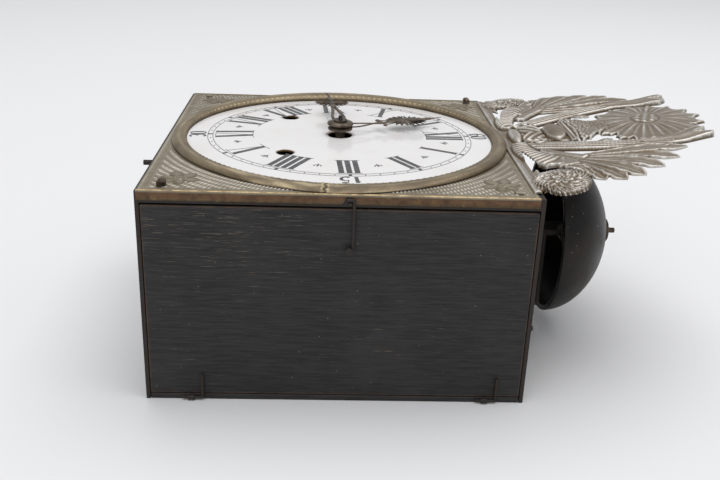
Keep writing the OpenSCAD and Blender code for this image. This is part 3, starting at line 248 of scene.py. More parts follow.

# %% [markdown]
# ## Effects shared by the finishes
#
# Old metal and paint differ from new in the same few ways: cloudy patches, long grain or brush marks, small
# specks, worn edges, and dirt that stays in the hollows, which the hollow tint deepens with painted shade
# while it gives the crests a painted highlight. Each is one node group, placed in a material with its own
# values, so a change to the effect reaches every finish.


# %% Shared effects
class Effect(Nodes):
    """A node group under construction. takes lists (name, kind, default) for its inputs; gives is the
    name and kind of its output."""

    def __init__(self, name, takes, gives):
        super().__init__(bpy.data.node_groups.new(name, "ShaderNodeTree"))
        sockets = self.tree.interface
        for socket, kind, value in takes:
            made = sockets.new_socket(name=socket, in_out="INPUT", socket_type="NodeSocket" + kind)
            if value is not None:
                made.default_value = value
        sockets.new_socket(name=gives[0], in_out="OUTPUT", socket_type="NodeSocket" + gives[1])
        self.take = self.tree.nodes.new("NodeGroupInput").outputs
        self.output = self.tree.nodes.new("NodeGroupOutput").inputs[0]

    def give(self, value):
        """Links the value to the group's output."""
        self.tree.links.new(value, self.output)


VECTOR = ("Vector", "Vector", None)
BLACK, WHITE = (0, 0, 0, 1), (1, 1, 1, 1)

patches = Effect("patches", [VECTOR, ("Scale", "Float", 20.0), ("Low", "Float", 0.4), ("High", "Float", 0.6)],
                 ("Mask", "Float"))
cloud = patches.noise(patches.take["Vector"], patches.take["Scale"], 5.0, 0.62)
patches.give(patches.ramp(cloud, patches.take["Low"], patches.take["High"]))

grain = Effect("grain", [VECTOR, ("Stretch", "Vector", (10.0, 400.0, 400.0))], ("Value", "Float"))
drawn = grain.vector("MULTIPLY", grain.take["Vector"], grain.take["Stretch"])
grain.give(grain.noise(drawn, 1.0, 4.0, 0.6))

RARE = 0.72
specks = Effect("specks", [VECTOR, ("Scale", "Float", 150.0), ("Size", "Float", 0.2)], ("Mask", "Float"))
cells = specks.add("TexVoronoi", {"Vector": specks.take["Vector"], "Scale": specks.take["Scale"]})
near = specks.calc("SUBTRACT", specks.take["Size"], cells.outputs["Distance"])
chance = specks.add("SeparateColor", {0: cells.outputs["Color"]}).outputs[0]
kept = specks.calc("GREATER_THAN", chance, RARE)
specks.give(specks.calc("MULTIPLY", specks.ramp(near, 0.0, 0.08), kept))

edge_wear = Effect("edge_wear", [VECTOR, ("Centre", "Vector", (0, 0, 0)), ("Half", "Vector", (1, 1, 1)),
                                 ("Reach", "Float", 0.003)], ("Mask", "Float"))
shifted = edge_wear.vector("SUBTRACT", edge_wear.take["Vector"], edge_wear.take["Centre"])
inside = edge_wear.vector("SUBTRACT", edge_wear.take["Half"], edge_wear.vector("ABSOLUTE", shifted))
from_x, from_y, from_z = edge_wear.add("SeparateXYZ", {0: inside}).outputs
total = edge_wear.calc("ADD", edge_wear.calc("ADD", from_x, from_y), from_z)
largest = edge_wear.calc("MAXIMUM", edge_wear.calc("MAXIMUM", from_x, from_y), from_z)
ragged = edge_wear.calc("MULTIPLY", edge_wear.noise(edge_wear.take["Vector"], 160.0, 4.0), 2.0)
spread = edge_wear.calc("MULTIPLY", edge_wear.take["Reach"], ragged)
away = edge_wear.calc("DIVIDE", edge_wear.calc("SUBTRACT", total, largest), spread)
edge_wear.give(edge_wear.ramp(edge_wear.calc("SUBTRACT", 1.0, away), 0.0, 0.7))

# Hollows get the deep colour, partly patina and partly painted shade; crests get the high colour as a painted
# highlight.
relief_patina_and_light = Effect("relief_patina_and_light", [("Relief", "Float", 0.5), ("Deep", "Color", BLACK),
                                     ("Middle", "Color", BLACK), ("High", "Color", WHITE)],
                     ("Color", "Color"))
height = relief_patina_and_light.take["Relief"]
lower = relief_patina_and_light.mix(relief_patina_and_light.ramp(height, 0.1, 0.55), relief_patina_and_light.take["Deep"],
                        relief_patina_and_light.take["Middle"])
relief_patina_and_light.give(relief_patina_and_light.mix(relief_patina_and_light.ramp(height, 0.55, 0.95), lower, relief_patina_and_light.take["High"]))
print("shared effects:", [group.name for group in bpy.data.node_groups])

# %% [markdown]
# ## Finishes of iron, steel, brass and wood
#
# The cage is forged iron gone brown with rust, the arbors are filed steel, the wheels cut brass, and the
# drums turned wood. Each finish starts from one colour and lets the shared effects shift its tone and
# gloss.


# %% Metal and wood finishes
def patchy_metal(name, clean, dull, metallic, gloss, scale):
    """A metal whose clean colour clouds over to a dull one, with faint tool marks."""
    finish = Finish(name)
    cloudy = finish.effect(patches, Scale=scale, Low=0.4, High=0.65)
    tone = finish.mix(cloudy, srgb(*clean), srgb(*dull))
    finish.shade({"Base Color": tone, "Metallic": metallic})
    finish.gloss(cloudy, *gloss)
    finish.bump(finish.effect(grain, Stretch=(900, 60, 900)), 0.0003, 0.25)
    return finish


rusty_iron = patchy_metal("rusty_iron", (38, 35, 33), (54, 45, 39), 0.3, (0.55, 0.85), 90.0)
filed_steel = patchy_metal("filed_steel", (150, 148, 142), (104, 92, 78), 0.9, (0.32, 0.55), 120.0)
cut_brass = patchy_metal("cut_brass", (190, 160, 98), (132, 104, 62), 0.9, (0.3, 0.5), 70.0)
bronze_hands = patchy_metal("bronze_hands", (98, 86, 72), (64, 55, 47), 0.5, (0.4, 0.6), 160.0)
stud_brown = patchy_metal("stud_brown", (92, 80, 64), (52, 44, 36), 0.6, (0.4, 0.7), 220.0)

drum_wood = Finish("drum_wood")
rings = drum_wood.effect(grain, Stretch=(300, 300, 14))
tone = drum_wood.mix(drum_wood.ramp(rings, 0.35, 0.65), srgb(112, 78, 48), srgb(150, 110, 70))
drum_wood.shade({"Base Color": tone})
drum_wood.gloss(rings, 0.5, 0.75)
drum_wood.bump(rings, 0.0004)
print("finishes so far:", len(bpy.data.materials))

# %% [markdown]
# ## Stamped brass
#
# The front was stamped from thin brass sheet. A century of handling has greyed its high points while the
# hollows kept golden-brown lacquer and dirt; the tint also darkens the hollows as painted shade and lightens
# the crests as a painted highlight. The mesh carries a value called relief, 0 in a hollow and 1 on a crest,
# so the tint follows the stamping itself and not a picture of it; on the dial ring and the folded sides that
# value also carries painted highlight and shade lines.


# %% Stamped brass finishes
def relief_tone(finish, deep, middle, high):
    """Tints a relief: deep colour in hollows, as patina and painted shade, middle on slopes, high on crests
    as a painted highlight.
    """
    return finish.effect(relief_patina_and_light, Relief=finish.relief(), Deep=srgb(*deep), Middle=srgb(*middle),
                         High=srgb(*high))


def stamped_finish(name, deep, middle, high, gloss, metallic):
    """Stamped sheet: a tinted relief with painted shade in its hollows and a painted highlight on its crests,
    clouded by brown patches and fine dark specks, glossier on its crests."""
    finish = Finish(name)
    tone = relief_tone(finish, deep, middle, high)
    tone = finish.cover(tone, deep, finish.effect(patches, Scale=38.0, Low=0.42, High=0.68), 0.45)
    fine = finish.effect(patches, Scale=420.0, Low=0.3, High=0.7)
    tone = finish.cover(tone, (70, 58, 42), fine, 0.22)
    finish.shade({"Base Color": tone, "Metallic": metallic})
    finish.gloss(finish.calc("SUBTRACT", 1.0, finish.relief()), *gloss)
    finish.bump(fine, 0.0002, 0.3)
    return finish


stamped_brass = stamped_finish("stamped_brass", (96, 83, 62), (154, 145, 126), (226, 221, 211),
                               (0.36, 0.55), 0.5)
pediment_brass = stamped_finish("pediment_brass", (100, 81, 56), (139, 131, 120), (208, 204, 197),
                                (0.36, 0.58), 0.45)
ring_brass = stamped_finish("ring_brass", (70, 56, 38), (136, 121, 96), (206, 188, 150), (0.32, 0.52), 0.55)

# The folded sides: mottled and rubbed lacquer, with a painted highlight along the top corner from their
# relief value.
lacquer_wear_and_highlight = Finish("lacquer_wear_and_highlight")
tone = relief_tone(lacquer_wear_and_highlight, (84, 68, 42), (102, 74, 50), (186, 158, 112))
mottled = lacquer_wear_and_highlight.effect(patches, Scale=150.0, Low=0.38, High=0.72)
tone = lacquer_wear_and_highlight.cover(tone, (54, 42, 30), mottled, 0.65)
rubbed = lacquer_wear_and_highlight.effect(patches, Scale=60.0, Low=0.55, High=0.66)
tone = lacquer_wear_and_highlight.cover(tone, (150, 122, 76), rubbed, 0.5)
lacquer_wear_and_highlight.shade({"Base Color": tone, "Metallic": 0.45})
lacquer_wear_and_highlight.gloss(mottled, 0.36, 0.62)
lacquer_wear_and_highlight.bump(mottled, 0.0003, 0.3)
print("finishes so far:", len(bpy.data.materials))

# %% [markdown]
# ## Enamel, ink, black paint and bell metal
#
# The dial is white enamel fired on copper: glossy, a little cold, stained brown round its holes. The
# doors are boards painted black, with the grain still to be seen and the paint rubbed off their edges.
# The bell is black with a brownish sheen and a dusting of pale specks.

# %% Enamel and ink
WINDING_X, WINDING_Y = -38.0, 47.0
HAND_HOLE, WINDING_HOLE = 8.8, 6.0
STAIN_IN = 0.2
hole_stains = [(0.0, 0.0, HAND_HOLE, 12.0)]
hole_stains += [(WINDING_X, sign * WINDING_Y, WINDING_HOLE, 8.0) for sign in (1, -1)]

enamel = Finish("enamel")
cloudy = enamel.effect(patches, Scale=30.0, Low=0.35, High=0.75)
tone = enamel.mix(cloudy, srgb(233, 231, 231), srgb(228, 225, 222))
flat_place = enamel.vector("MULTIPLY", enamel.place, (1.0, 1.0, 0.0))
blotch = enamel.effect(patches, Scale=300.0, Low=0.25, High=0.7)
for hole_x, hole_y, hole_r, stain_r in hole_stains:
    inner = hole_r - STAIN_IN
    ends = {0: flat_place, 1: (hole_x * MM, hole_y * MM, 0.0)}
    away = enamel.add("VectorMath", ends, operation="DISTANCE").outputs["Value"]
    tone = enamel.cover(tone, (118, 78, 46), enamel.ramp(away, stain_r * MM, inner * MM), blotch)
    wall = enamel.ramp(away, (inner + 0.6) * MM, (inner + 0.3) * MM)
    tone = enamel.mix(wall, tone, srgb(108, 90, 56))
enamel.shade({"Base Color": tone, "Roughness": 0.16, "Coat Weight": 0.3})

ink = Finish("ink")
faded = ink.effect(patches, Scale=260.0, Low=0.45, High=0.75)
ink.shade({"Base Color": ink.mix(faded, srgb(52, 52, 54), srgb(92, 92, 94)), "Roughness": 0.3})
print("finishes so far:", len(bpy.data.materials))


# %% Black paint and bell metal
def painted_board(name, low, high, wear):
    """Black paint over wood: grain shows as fine lines along X, edges are rubbed to brown, scratches lie
    along X and crowd together towards the VI end near the front."""
    finish = Finish(name)
    lines = finish.effect(grain, Stretch=(55, 900, 900))
    tone = finish.mix(finish.ramp(lines, 0.3, 0.7), srgb(24, 23, 24), srgb(46, 45, 46))
    tone = finish.cover(tone, (58, 54, 50), finish.effect(patches, Scale=22.0, Low=0.45, High=0.7), 0.3)
    along_x, _, along_z = finish.add("SeparateXYZ", {0: finish.place}).outputs
    crowd = finish.calc("MULTIPLY", finish.ramp(along_x, 0.03, -0.05), finish.ramp(along_z, 0.075, 0.105))
    streaks = finish.calc("ADD", finish.effect(grain, Stretch=(70, 2200, 2200)),
                          finish.calc("MULTIPLY", crowd, 0.06))
    tone = finish.cover(tone, (128, 116, 98), finish.ramp(streaks, 0.66, 0.75), 0.6)
    centre = [(a + b) / 2 for a, b in zip(low, high)]
    half = [(b - a) / 2 for a, b in zip(low, high)]
    rubbed = finish.effect(edge_wear, Centre=centre, Half=half, Reach=0.0013)
    tone = finish.cover(tone, (86, 66, 50), rubbed, wear)
    tone = finish.cover(tone, (132, 120, 100), finish.effect(specks, Scale=170.0, Size=0.12), 0.4)
    finish.shade({"Base Color": tone, "Specular IOR Level": 0.35})
    finish.gloss(lines, 0.5, 0.75)
    finish.bump(lines, 0.0003, 0.25)
    return finish


bell_black = Finish("bell_black")
cloudy = bell_black.effect(patches, Scale=26.0, Low=0.42, High=0.7)
tone = bell_black.mix(cloudy, srgb(34, 32, 31), srgb(50, 44, 38))
tone = bell_black.cover(tone, (142, 132, 114), bell_black.effect(specks, Scale=230.0, Size=0.16), 0.4)
bell_black.shade({"Base Color": tone, "Metallic": 0.45, "Specular IOR Level": 0.3})
bell_black.gloss(cloudy, 0.4, 0.6)
bell_black.bump(bell_black.effect(patches, Scale=500.0, Low=0.3, High=0.7), 0.0002, 0.3)
print("finishes so far:", len(bpy.data.materials))

# %% [markdown]
# ## Surfaces as arrays
#
# Every new piece is a grid of points worked out at once. Three kinds of surface cover most of the clock:
# a tube carried along a path, a profile turned about an axis, and a sheet whose outline is any formula
# that is positive inside. A face is a row of four point numbers, and a triangle repeats its last one.


# %% Faces and pieces
def grid_faces(rows, columns, close_rows=False, close_columns=False):
    """Four-cornered faces between neighbours of a rows by columns grid, wrapped round where asked."""
    count_i, count_j = rows - (not close_rows), columns - (not close_columns)
    i, j = np.meshgrid(np.arange(count_i), np.arange(count_j), indexing="ij")
    next_i, next_j = (i + 1) % rows, (j + 1) % columns
    corners = [i * columns + j, next_i * columns + j, next_i * columns + next_j, i * columns + next_j]
    return np.stack(corners, axis=-1).reshape(-1, 4)


def fan_faces(ring, pole, flip=False):
    """Triangles from a closed ring of points to one pole."""
    after = np.roll(ring, -1)
    first, second = (after, ring) if flip else (ring, after)
    return np.stack([first, second, np.full_like(ring, pole), np.full_like(ring, pole)], axis=-1)


def capped(points, faces, poles, steps):
    """Closes both ends of a grid of rings with a fan to a pole."""
    count = len(points)
    first = fan_faces(np.arange(steps), count, flip=True)
    last = fan_faces(np.arange(steps) + count - steps, count + 1)
    return np.concatenate([points, poles]), np.concatenate([faces, first, last])


def join_shells(shells):
    """Stacks several (points, faces) shells into one."""
    starts = np.cumsum([0] + [len(points) for points, faces in shells[:-1]])
    points = np.concatenate([points for points, faces in shells])
    faces = np.concatenate([faces + start for (_, faces), start in zip(shells, starts)])
    return points, faces


def outward(shell):
    """Turns the faces of a closed shell so that its signed volume, the sum of a . (b x c), is positive."""
    points, faces = shell
    a, b, c, d = (points[faces[:, k]] for k in range(4))
    volume = np.einsum("ij,ij->i", a, np.cross(b, c)).sum() + np.einsum("ij,ij->i", a, np.cross(c, d)).sum()
    three = (faces[:, 2] == faces[:, 3])[:, None]
    return points, faces if volume > 0 else np.where(three, faces[:, [1, 0, 2, 3]], faces[:, ::-1])


def make_piece(name, shell, body, finish, replaced=(), crease=40.0, relief=None):
    """Puts a shell, in millimetres, into a mesh object that rides on a body and stands for the replaced
    nodes."""
    points, faces = shell
    three = faces[:, 2] == faces[:, 3]
    mesh = bpy.data.meshes.new(name)
    mesh.from_pydata((points * MM).tolist(), [], faces[~three].tolist() + faces[three, :3].tolist())
    mesh.polygons.foreach_set("use_smooth", np.ones(len(mesh.polygons), dtype=bool))
    mesh.set_sharp_from_angle(angle=math.radians(crease))
    if relief is not None:
        mesh.attributes.new("relief", "FLOAT", "POINT").data.foreach_set("value", relief.astype(np.float32))
    mesh.materials.append(finish.material)
    mesh.update()
    piece = bpy.data.objects.new(name, mesh)
    bpy.context.collection.objects.link(piece)
    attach(piece, body)
    if replaced:
        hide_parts(*replaced)
    print(name, "faces:", len(mesh.polygons))


def box_mm(node):
    """Lowest and highest corner of a solid, in millimetres."""
    return [np.array(corner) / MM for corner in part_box(node)]


print("faces and pieces ready")


# %% Tubes, turned shapes and boards
CAP_ANGLES = np.radians([80.0, 55.0, 28.0])


def tube(path, radius, across=(0.0, 0.0, 1.0), sides=12, flat=1.0):
    """A closed tube. At each path point a ring stands square to the path: p + r(cos a n + flat sin a b),
    with n square to the path and to the fixed direction across, and b square to both. Ends are
    rounded."""
    path = np.asarray(path, dtype=float)
    radius = np.broadcast_to(np.asarray(radius, dtype=float), (len(path),)).copy()
    along = np.gradient(path, axis=0)
    along /= np.linalg.norm(along, axis=1, keepdims=True)
    head = path[0] - along[0] * radius[0] * np.sin(CAP_ANGLES)[:, None]
    tail = path[-1] + along[-1] * radius[-1] * np.sin(CAP_ANGLES[::-1])[:, None]
    spine = np.concatenate([head, path, tail])
    way = np.concatenate([np.repeat(along[:1], 3, 0), along, np.repeat(along[-1:], 3, 0)])
    size = np.concatenate([radius[0] * np.cos(CAP_ANGLES), radius, radius[-1] * np.cos(CAP_ANGLES[::-1])])
    normal = np.cross(way, np.asarray(across))
    normal /= np.linalg.norm(normal, axis=1, keepdims=True)
    binormal = np.cross(way, normal)
    angle = np.linspace(0, 2 * np.pi, sides, endpoint=False)[None, :, None]
    ring = np.cos(angle) * normal[:, None, :] + flat * np.sin(angle) * binormal[:, None, :]
    points = (spine[:, None, :] + size[:, None, None] * ring).reshape(-1, 3)
    faces = grid_faces(len(spine), sides, close_columns=True)[:, ::-1]
    poles = np.array([spine[0] - way[0] * radius[0] * 0.03, spine[-1] + way[-1] * radius[-1] * 0.03])
    return capped(points, faces, poles, sides)


def turned(radii, heights, steps, closed=False):
    """Turns a profile about Z: (r cos a, r sin a, h). A closed profile wraps; an open one starts and ends
    on the axis."""
    radii, heights = np.asarray(radii, dtype=float)[:, None], np.asarray(heights, dtype=float)[:, None]
    angle = np.linspace(0, 2 * np.pi, steps, endpoint=False)
    points = np.stack([radii * np.cos(angle), radii * np.sin(angle), heights + 0 * angle], axis=-1)
    points = points.reshape(-1, 3)
    faces = grid_faces(len(radii), steps, close_rows=closed, close_columns=True)[:, ::-1]
    if closed:
        return points, faces
    return capped(points, faces, np.array([[0, 0, heights[0, 0]], [0, 0, heights[-1, 0]]]), steps)


def laid_along_x(shell, axis_z):
    """Lays a shell turned about Z along X: (x, y, z) = (h, r sin a, axis + r cos a)."""
    points, faces = shell
    return outward((np.stack([points[:, 2], points[:, 1], axis_z + points[:, 0]], axis=-1), faces))


def spun(points, angle):
    """Turns points about Z."""
    cos, sin = math.cos(angle), math.sin(angle)
    x, y, z = points.T
    return np.stack([x * cos - y * sin, x * sin + y * cos, z], axis=-1)


def rounded_board(low, high, radius, steps=4):
    """A box with rounded edges: centre + sign(n)(half - r) + r n, for every direction n on a sphere.
    Points that fall together at the corners are merged."""
    centre, half = (low + high) / 2, (high - low) / 2
    quarter = np.linspace(0, np.pi / 2, steps)
    around = (quarter[None, :] + np.arange(4)[:, None] * np.pi / 2).ravel()
    sign_x = np.repeat([1, -1, -1, 1], steps)
    sign_y = np.repeat([1, 1, -1, -1], steps)
    rise = np.concatenate([quarter - np.pi / 2, quarter])[:, None]
    sign_z = np.repeat([-1, 1], steps)
    direction = np.stack([np.cos(rise) * np.cos(around), np.cos(rise) * np.sin(around),
                          np.sin(rise) + 0 * around], axis=-1)
    sign = np.stack(np.broadcast_arrays(sign_x[None, :], sign_y[None, :], sign_z[:, None]), axis=-1)
    points = (centre + sign * (half - radius) + radius * direction).reshape(-1, 3)
    columns = len(around)
    faces = grid_faces(len(rise), columns, close_columns=True)[:, ::-1]
    corner = np.arange(4) * steps
    lids = np.stack([corner[::-1], corner + (len(rise) - 1) * columns])
    _, kept, merged = np.unique(points.round(5), axis=0, return_index=True, return_inverse=True)
    a, b, c, d = merged.ravel()[np.concatenate([faces, lids])].T
    c, d = np.where(b == c, d, c), np.where(a == d, c, d)
    return outward((points[kept], np.stack([a, b, c, d], axis=-1)))


print("tubes, turned shapes and boards ready")


# %% Stamped sheets
def smooth_step(value, low, high):
    """Rises from 0 at low to 1 at high with level ends: 3t^2 - 2t^3."""
    t = np.clip((value - low) / (high - low), 0, 1)
    return t * t * (3 - 2 * t)


def round_top(value):
    """Height of a half-round over -1 to 1, and nought outside: sqrt(1 - t^2)."""
    return np.sqrt(np.clip(1 - value ** 2, 0, 1))


def bell_wave(value, width):
    """A soft hump of height 1: exp(-(t / width)^2)."""
    return np.exp(-(value / width) ** 2)


def kept_cells(margin):
    """Cells of a grid whose corners' margins add up to more than nought, without lone cells or cells that
    touch at a corner only."""
    keep = (margin[:-1, :-1] + margin[1:, :-1] + margin[1:, 1:] + margin[:-1, 1:]) > 0
    for _ in range(2):
        beside = np.pad(keep, 1).astype(int)
        keep &= beside[:-2, 1:-1] + beside[2:, 1:-1] + beside[1:-1, :-2] + beside[1:-1, 2:] > 1
        keep[1:, :-1] |= keep[:-1, :-1] & keep[1:, 1:] & ~keep[:-1, 1:]
        keep[:-1, :-1] |= keep[1:, :-1] & keep[:-1, 1:] & ~keep[1:, 1:]
    return keep


def slide_to_edge(outline, u, v, pitch):
    """Moves points down the slope of the outline, in short steps, until it is nought there."""
    small = pitch * 0.1
    for _ in range(3):
        slope_u = (outline(u + small, v) - outline(u - small, v)) / (2 * small)
        slope_v = (outline(u, v + small) - outline(u, v - small)) / (2 * small)
        step = -outline(u, v) / (slope_u ** 2 + slope_v ** 2 + 0.05)
        length = np.abs(step) * np.hypot(slope_u, slope_v)
        step = step * np.minimum(1.0, 0.35 * pitch / (length + 1e-9))
        u, v = u + step * slope_u, v + step * slope_v
    return u, v


def clipped_grid(outline, low, high, pitch):
    """Square cells that lie where outline(u, v) > 0, with their border moved onto the outline so that the
    edge is smooth. Gives u, v, faces and the border edges in order."""
    lines = [np.linspace(a, b, int(round((b - a) / pitch)) + 1) for a, b in zip(low, high)]
    u, v = np.meshgrid(*lines, indexing="ij")
    keep = kept_cells(outline(u, v))
    index = np.arange(u.size).reshape(u.shape)
    a, b, c, d = index[:-1, :-1], index[1:, :-1], index[1:, 1:], index[:-1, 1:]
    faces = np.stack([a[keep], b[keep], c[keep], d[keep]], axis=-1)
    padded = np.pad(keep, 1)
    lacks = [~padded[1:-1, :-2], ~padded[2:, 1:-1], ~padded[1:-1, 2:], ~padded[:-2, 1:-1]]
    pairs = zip([(a, b), (b, c), (c, d), (d, a)], lacks)
    edges = np.concatenate([np.stack([p[keep & gap], q[keep & gap]], axis=-1) for (p, q), gap in pairs])
    used = np.unique(faces)
    renumber = np.full(u.size, -1)
    renumber[used] = np.arange(len(used))
    faces, edges = renumber[faces], renumber[edges]
    u, v = u.ravel()[used], v.ravel()[used]
    border = np.unique(edges)
    u[border], v[border] = slide_to_edge(outline, u[border], v[border], pitch)
    return u, v, faces, edges


def sheet_shell(outline, height, place, low, high, pitch, thickness):
    """A stamped sheet: the front is height(u, v) over a clipped grid, the back the same surface sunk by the
    thickness, and a wall closes the border. Gives the shell and each point's u and v."""
    u, v, faces, edges = clipped_grid(outline, low, high, pitch)
    top = height(u, v)
    points = np.concatenate([place(u, v, top), place(u, v, top - thickness)])
    p, q = edges.T
    wall = np.stack([q, p, p + len(u), q + len(u)], axis=-1)
    faces = np.concatenate([faces, wall, faces[:, ::-1] + len(u)])
    return (points, faces), np.tile([u, v], 2)


print("sheets ready")

# %% [markdown]
# ## Every solid gets a finish
#
# The wheels, bars, arbors and wires already have their true shape, so they stay as they are and only take a
# finish, chosen by the material slot that the record gives each one.

# %% Finishes of the solids
slot_finish = {"iron": rusty_iron, "steel": filed_steel, "train_brass": cut_brass, "front_brass": cut_brass,
               "hand_brass": bronze_hands, "black_wood": rusty_iron, "drum_wood": drum_wood, "enamel": enamel,
               "bell_metal": bell_black}
own_finish = {"hour_pipe": bronze_hands, "minute_pipe": bronze_hands, "hand_washer": bronze_hands,
              "hand_pin": rusty_iron, "motion_studs": rusty_iron}
slots = {row["node"]: row["material_slot"] for row in frame["record"]["subparts"]}
for node, solid in frame["nodes"].items():
    solid.data.materials.clear()
    solid.data.materials.append(own_finish.get(node, slot_finish[slots[node]]).material)
print("solids dressed:", len(slots))

# %% [markdown]
# ## Doors and back board
#
# Two thin boards close the sides and a third the back. They could be plain boxes, but a sawn board has
# softened edges, and light catches those first, so each is a box with rounded edges in its own black
# paint.

# %% Boards
BOARD_EDGE = 0.8
DOOR_WEAR, BACK_WEAR = 0.65, 0.15
boards = (("right_door", "right_door_leaf", DOOR_WEAR), ("left_door", "left_door_leaf", DOOR_WEAR),
          ("back_board", "case", BACK_WEAR))
for node, body, wear in boards:
    paint = painted_board(node + "_paint", *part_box(node), wear)
    make_piece(node + "_wood", rounded_board(*box_mm(node), BOARD_EDGE), body, paint, (node,))

# %% [markdown]
# ## Bell
#
# The bell is a shallow bowl of cast bell metal with a thickened rim. It is turned from one profile:
# outside up from the rim to the crown, then back down inside, with the hole for the stand left open at
# the crown.

# %% Bell
BELL_WALL, BELL_HOLE, BELL_POWER = 3.0, 4.2, 1.88


def bell_shell(rim_x, crown_x, axis_z, radius):
    """Outside r = R cos(t)^(2/p), x = H sin(t)^(2/p); inside the same shape less the wall, thicker at the
    rim."""
    t = np.linspace(0.02, np.pi / 2 - 0.02, 48)
    across, up = np.cos(t) ** (2 / BELL_POWER), np.sin(t) ** (2 / BELL_POWER)
    height = crown_x - rim_x
    outer_r, outer_x = radius * across, height * up
    inner_r = (radius - BELL_WALL) * across - 0.8 * bell_wave(outer_x, 5.0)
    inner_x = (height - BELL_WALL) * up
    out_keep, in_keep = outer_r > BELL_HOLE, inner_r > BELL_HOLE
    lip_r, lip_x = radius + np.array([-BELL_WALL - 0.5, -1.5, -0.2]), [0.15, 0.0, 0.3]
    profile_r = np.concatenate([lip_r, outer_r[out_keep], [BELL_HOLE, BELL_HOLE], inner_r[in_keep][::-1]])
    profile_x = np.concatenate([lip_x, outer_x[out_keep], [height, height - BELL_WALL],
                                inner_x[in_keep][::-1]])
    return laid_along_x(turned(profile_r, rim_x + profile_x, 128, closed=True), axis_z)


low, high = box_mm("bell")
bell = bell_shell(low[0], high[0], (low[2] + high[2]) / 2, (high[2] - low[2]) / 2)
make_piece("bell_cast", bell, "case", bell_black, ("bell",), crease=50)

# %% [markdown]
# ## Bell stand
#
# A turned iron stand carries the bell: a flange on the top plate and a shank into the bowl. On the crown
# sits a thin washer with a slender rod standing out of it. Both are profiles turned about Z and laid
# along X.

# %% Bell stand
SHANK_R, FLANGE_R, THREAD_R, ROD_R, WASHER_R = 6.0, 12.0, 3.0, 2.0, 9.0
FLANGE_T, SHOULDER_IN, STAND_STEPS = 3.0, 3.6, 40
low, high = box_mm("bell_stand")
stand_z = (low[2] + high[2]) / 2
crown_x, flange_x = box_mm("bell_nut")[0][0], box_mm("top_plate")[1][0]
shoulder_x, end_x = crown_x - SHOULDER_IN, high[0] - 1.0

stand_r = [SHANK_R - 0.2, SHANK_R, SHANK_R, FLANGE_R, FLANGE_R, SHANK_R, SHANK_R, THREAD_R, THREAD_R]
stand_x = [low[0], low[0] + 0.2, flange_x, flange_x, flange_x + FLANGE_T, flange_x + FLANGE_T, shoulder_x,
           shoulder_x, crown_x + 1.0]
stand = laid_along_x(turned(stand_r, stand_x, STAND_STEPS), stand_z)
make_piece("bell_stand_turned", stand, "case", rusty_iron, ("bell_stand",), crease=30)

washer_r = [WASHER_R - 0.7, WASHER_R, WASHER_R, WASHER_R - 0.5, 3.6, ROD_R, ROD_R, ROD_R - 0.5]
washer_x = np.append(crown_x + np.array([-0.2, 0.0, 2.2, 2.7, 3.0, 3.0]), [end_x - 0.4, end_x])
washer = laid_along_x(turned(washer_r, washer_x, STAND_STEPS), stand_z)
make_piece("bell_washer", washer, "case", stud_brown, ("bell_nut",), crease=30)

# %% [markdown]
# ## Brass front
#
# Behind the dial ring lies a square sheet stamped with rows of short dashes, a leaf spray in each corner
# and a double line along its edges; its two long sides fold down over the case. The stamping is a height
# over the plane, so it is one formula in x and y. The sheet is cut away under the ring, where nobody sees
# it.

# %% Stamping of the front
FRONT_X, FRONT_FOOT, FRONT_Y, FRONT_Z = 121.5, 123.9, 127.8, 145.5
SHEET = 0.8
HIDDEN_R = 117.0
SPRAY_X, SPRAY_Y, SPRAY_LEAVES = 102.0, 104.0, 6
DASH_COUNT, DASH_RINGS, TICK_STEP = 300, 5.2, 1.9


def end_distance(x):
    """Distance from the nearer of the two ends: the top under the pediment, or the foot."""
    return np.minimum(FRONT_X - x, x + FRONT_FOOT)


def edge_distance(x, y):
    """Distance from the nearest of the four edges."""
    return np.minimum(end_distance(x), FRONT_Y - np.abs(y))


def front_outline(x, y):
    """Positive on the sheet: inside its four edges and outside the hidden circle under the ring."""
    return np.minimum(edge_distance(x, y), np.hypot(x, y) - HIDDEN_R)


def leaf_spray(x, y):
    """Six round-ended leaves fanned round a point in each corner; each is a lens in (distance, angle)."""
    dx, dy = np.abs(x) - SPRAY_X, np.abs(y) - SPRAY_Y
    reach, angle = np.hypot(dx, dy), np.arctan2(dy, dx)
    leaf_at = np.abs(((angle - np.pi / 4) / (2 * np.pi / SPRAY_LEAVES) + 0.5) % 1.0 - 0.5) * 2
    length = np.where(np.cos(angle - np.pi / 4) > 0, 12.0, 15.0)
    share = np.clip(reach / length, 0, 1)
    inside = 1.05 * np.sin(np.pi * share ** 0.95) - leaf_at
    return np.where(reach < length, np.clip(inside, 0, 1), 0) ** 0.5 + 0.8 * (reach < 2.6)


def front_relief(x, y):
    """Rows of short dashes round the dial, cut by rows that run out from it, under leaf sprays in a double
    border."""
    edge = edge_distance(x, y)
    reach, angle = np.hypot(x, y), np.arctan2(y, x)
    rows = 0.5 + 0.5 * np.cos(angle * DASH_COUNT + reach * 0.7)
    rings = np.sqrt(0.5 + 0.5 * np.cos(2 * np.pi * reach / DASH_RINGS))
    field = 0.6 * rows * rings * smooth_step(edge, 6.4, 7.0)
    lines = 0.32 * round_top((edge - 1.5) / 0.9) + 0.26 * round_top((edge - 5.6) / 0.7)
    along = np.where(end_distance(x) < FRONT_Y - np.abs(y), y, x)
    ticks = 0.3 * (0.5 + 0.5 * np.cos(2 * np.pi * along / TICK_STEP)) * round_top((edge - 3.6) / 1.2)
    spray = leaf_spray(x, y)
    return np.where(spray > 0.05, 0.3 + 0.7 * spray, field) + lines + ticks


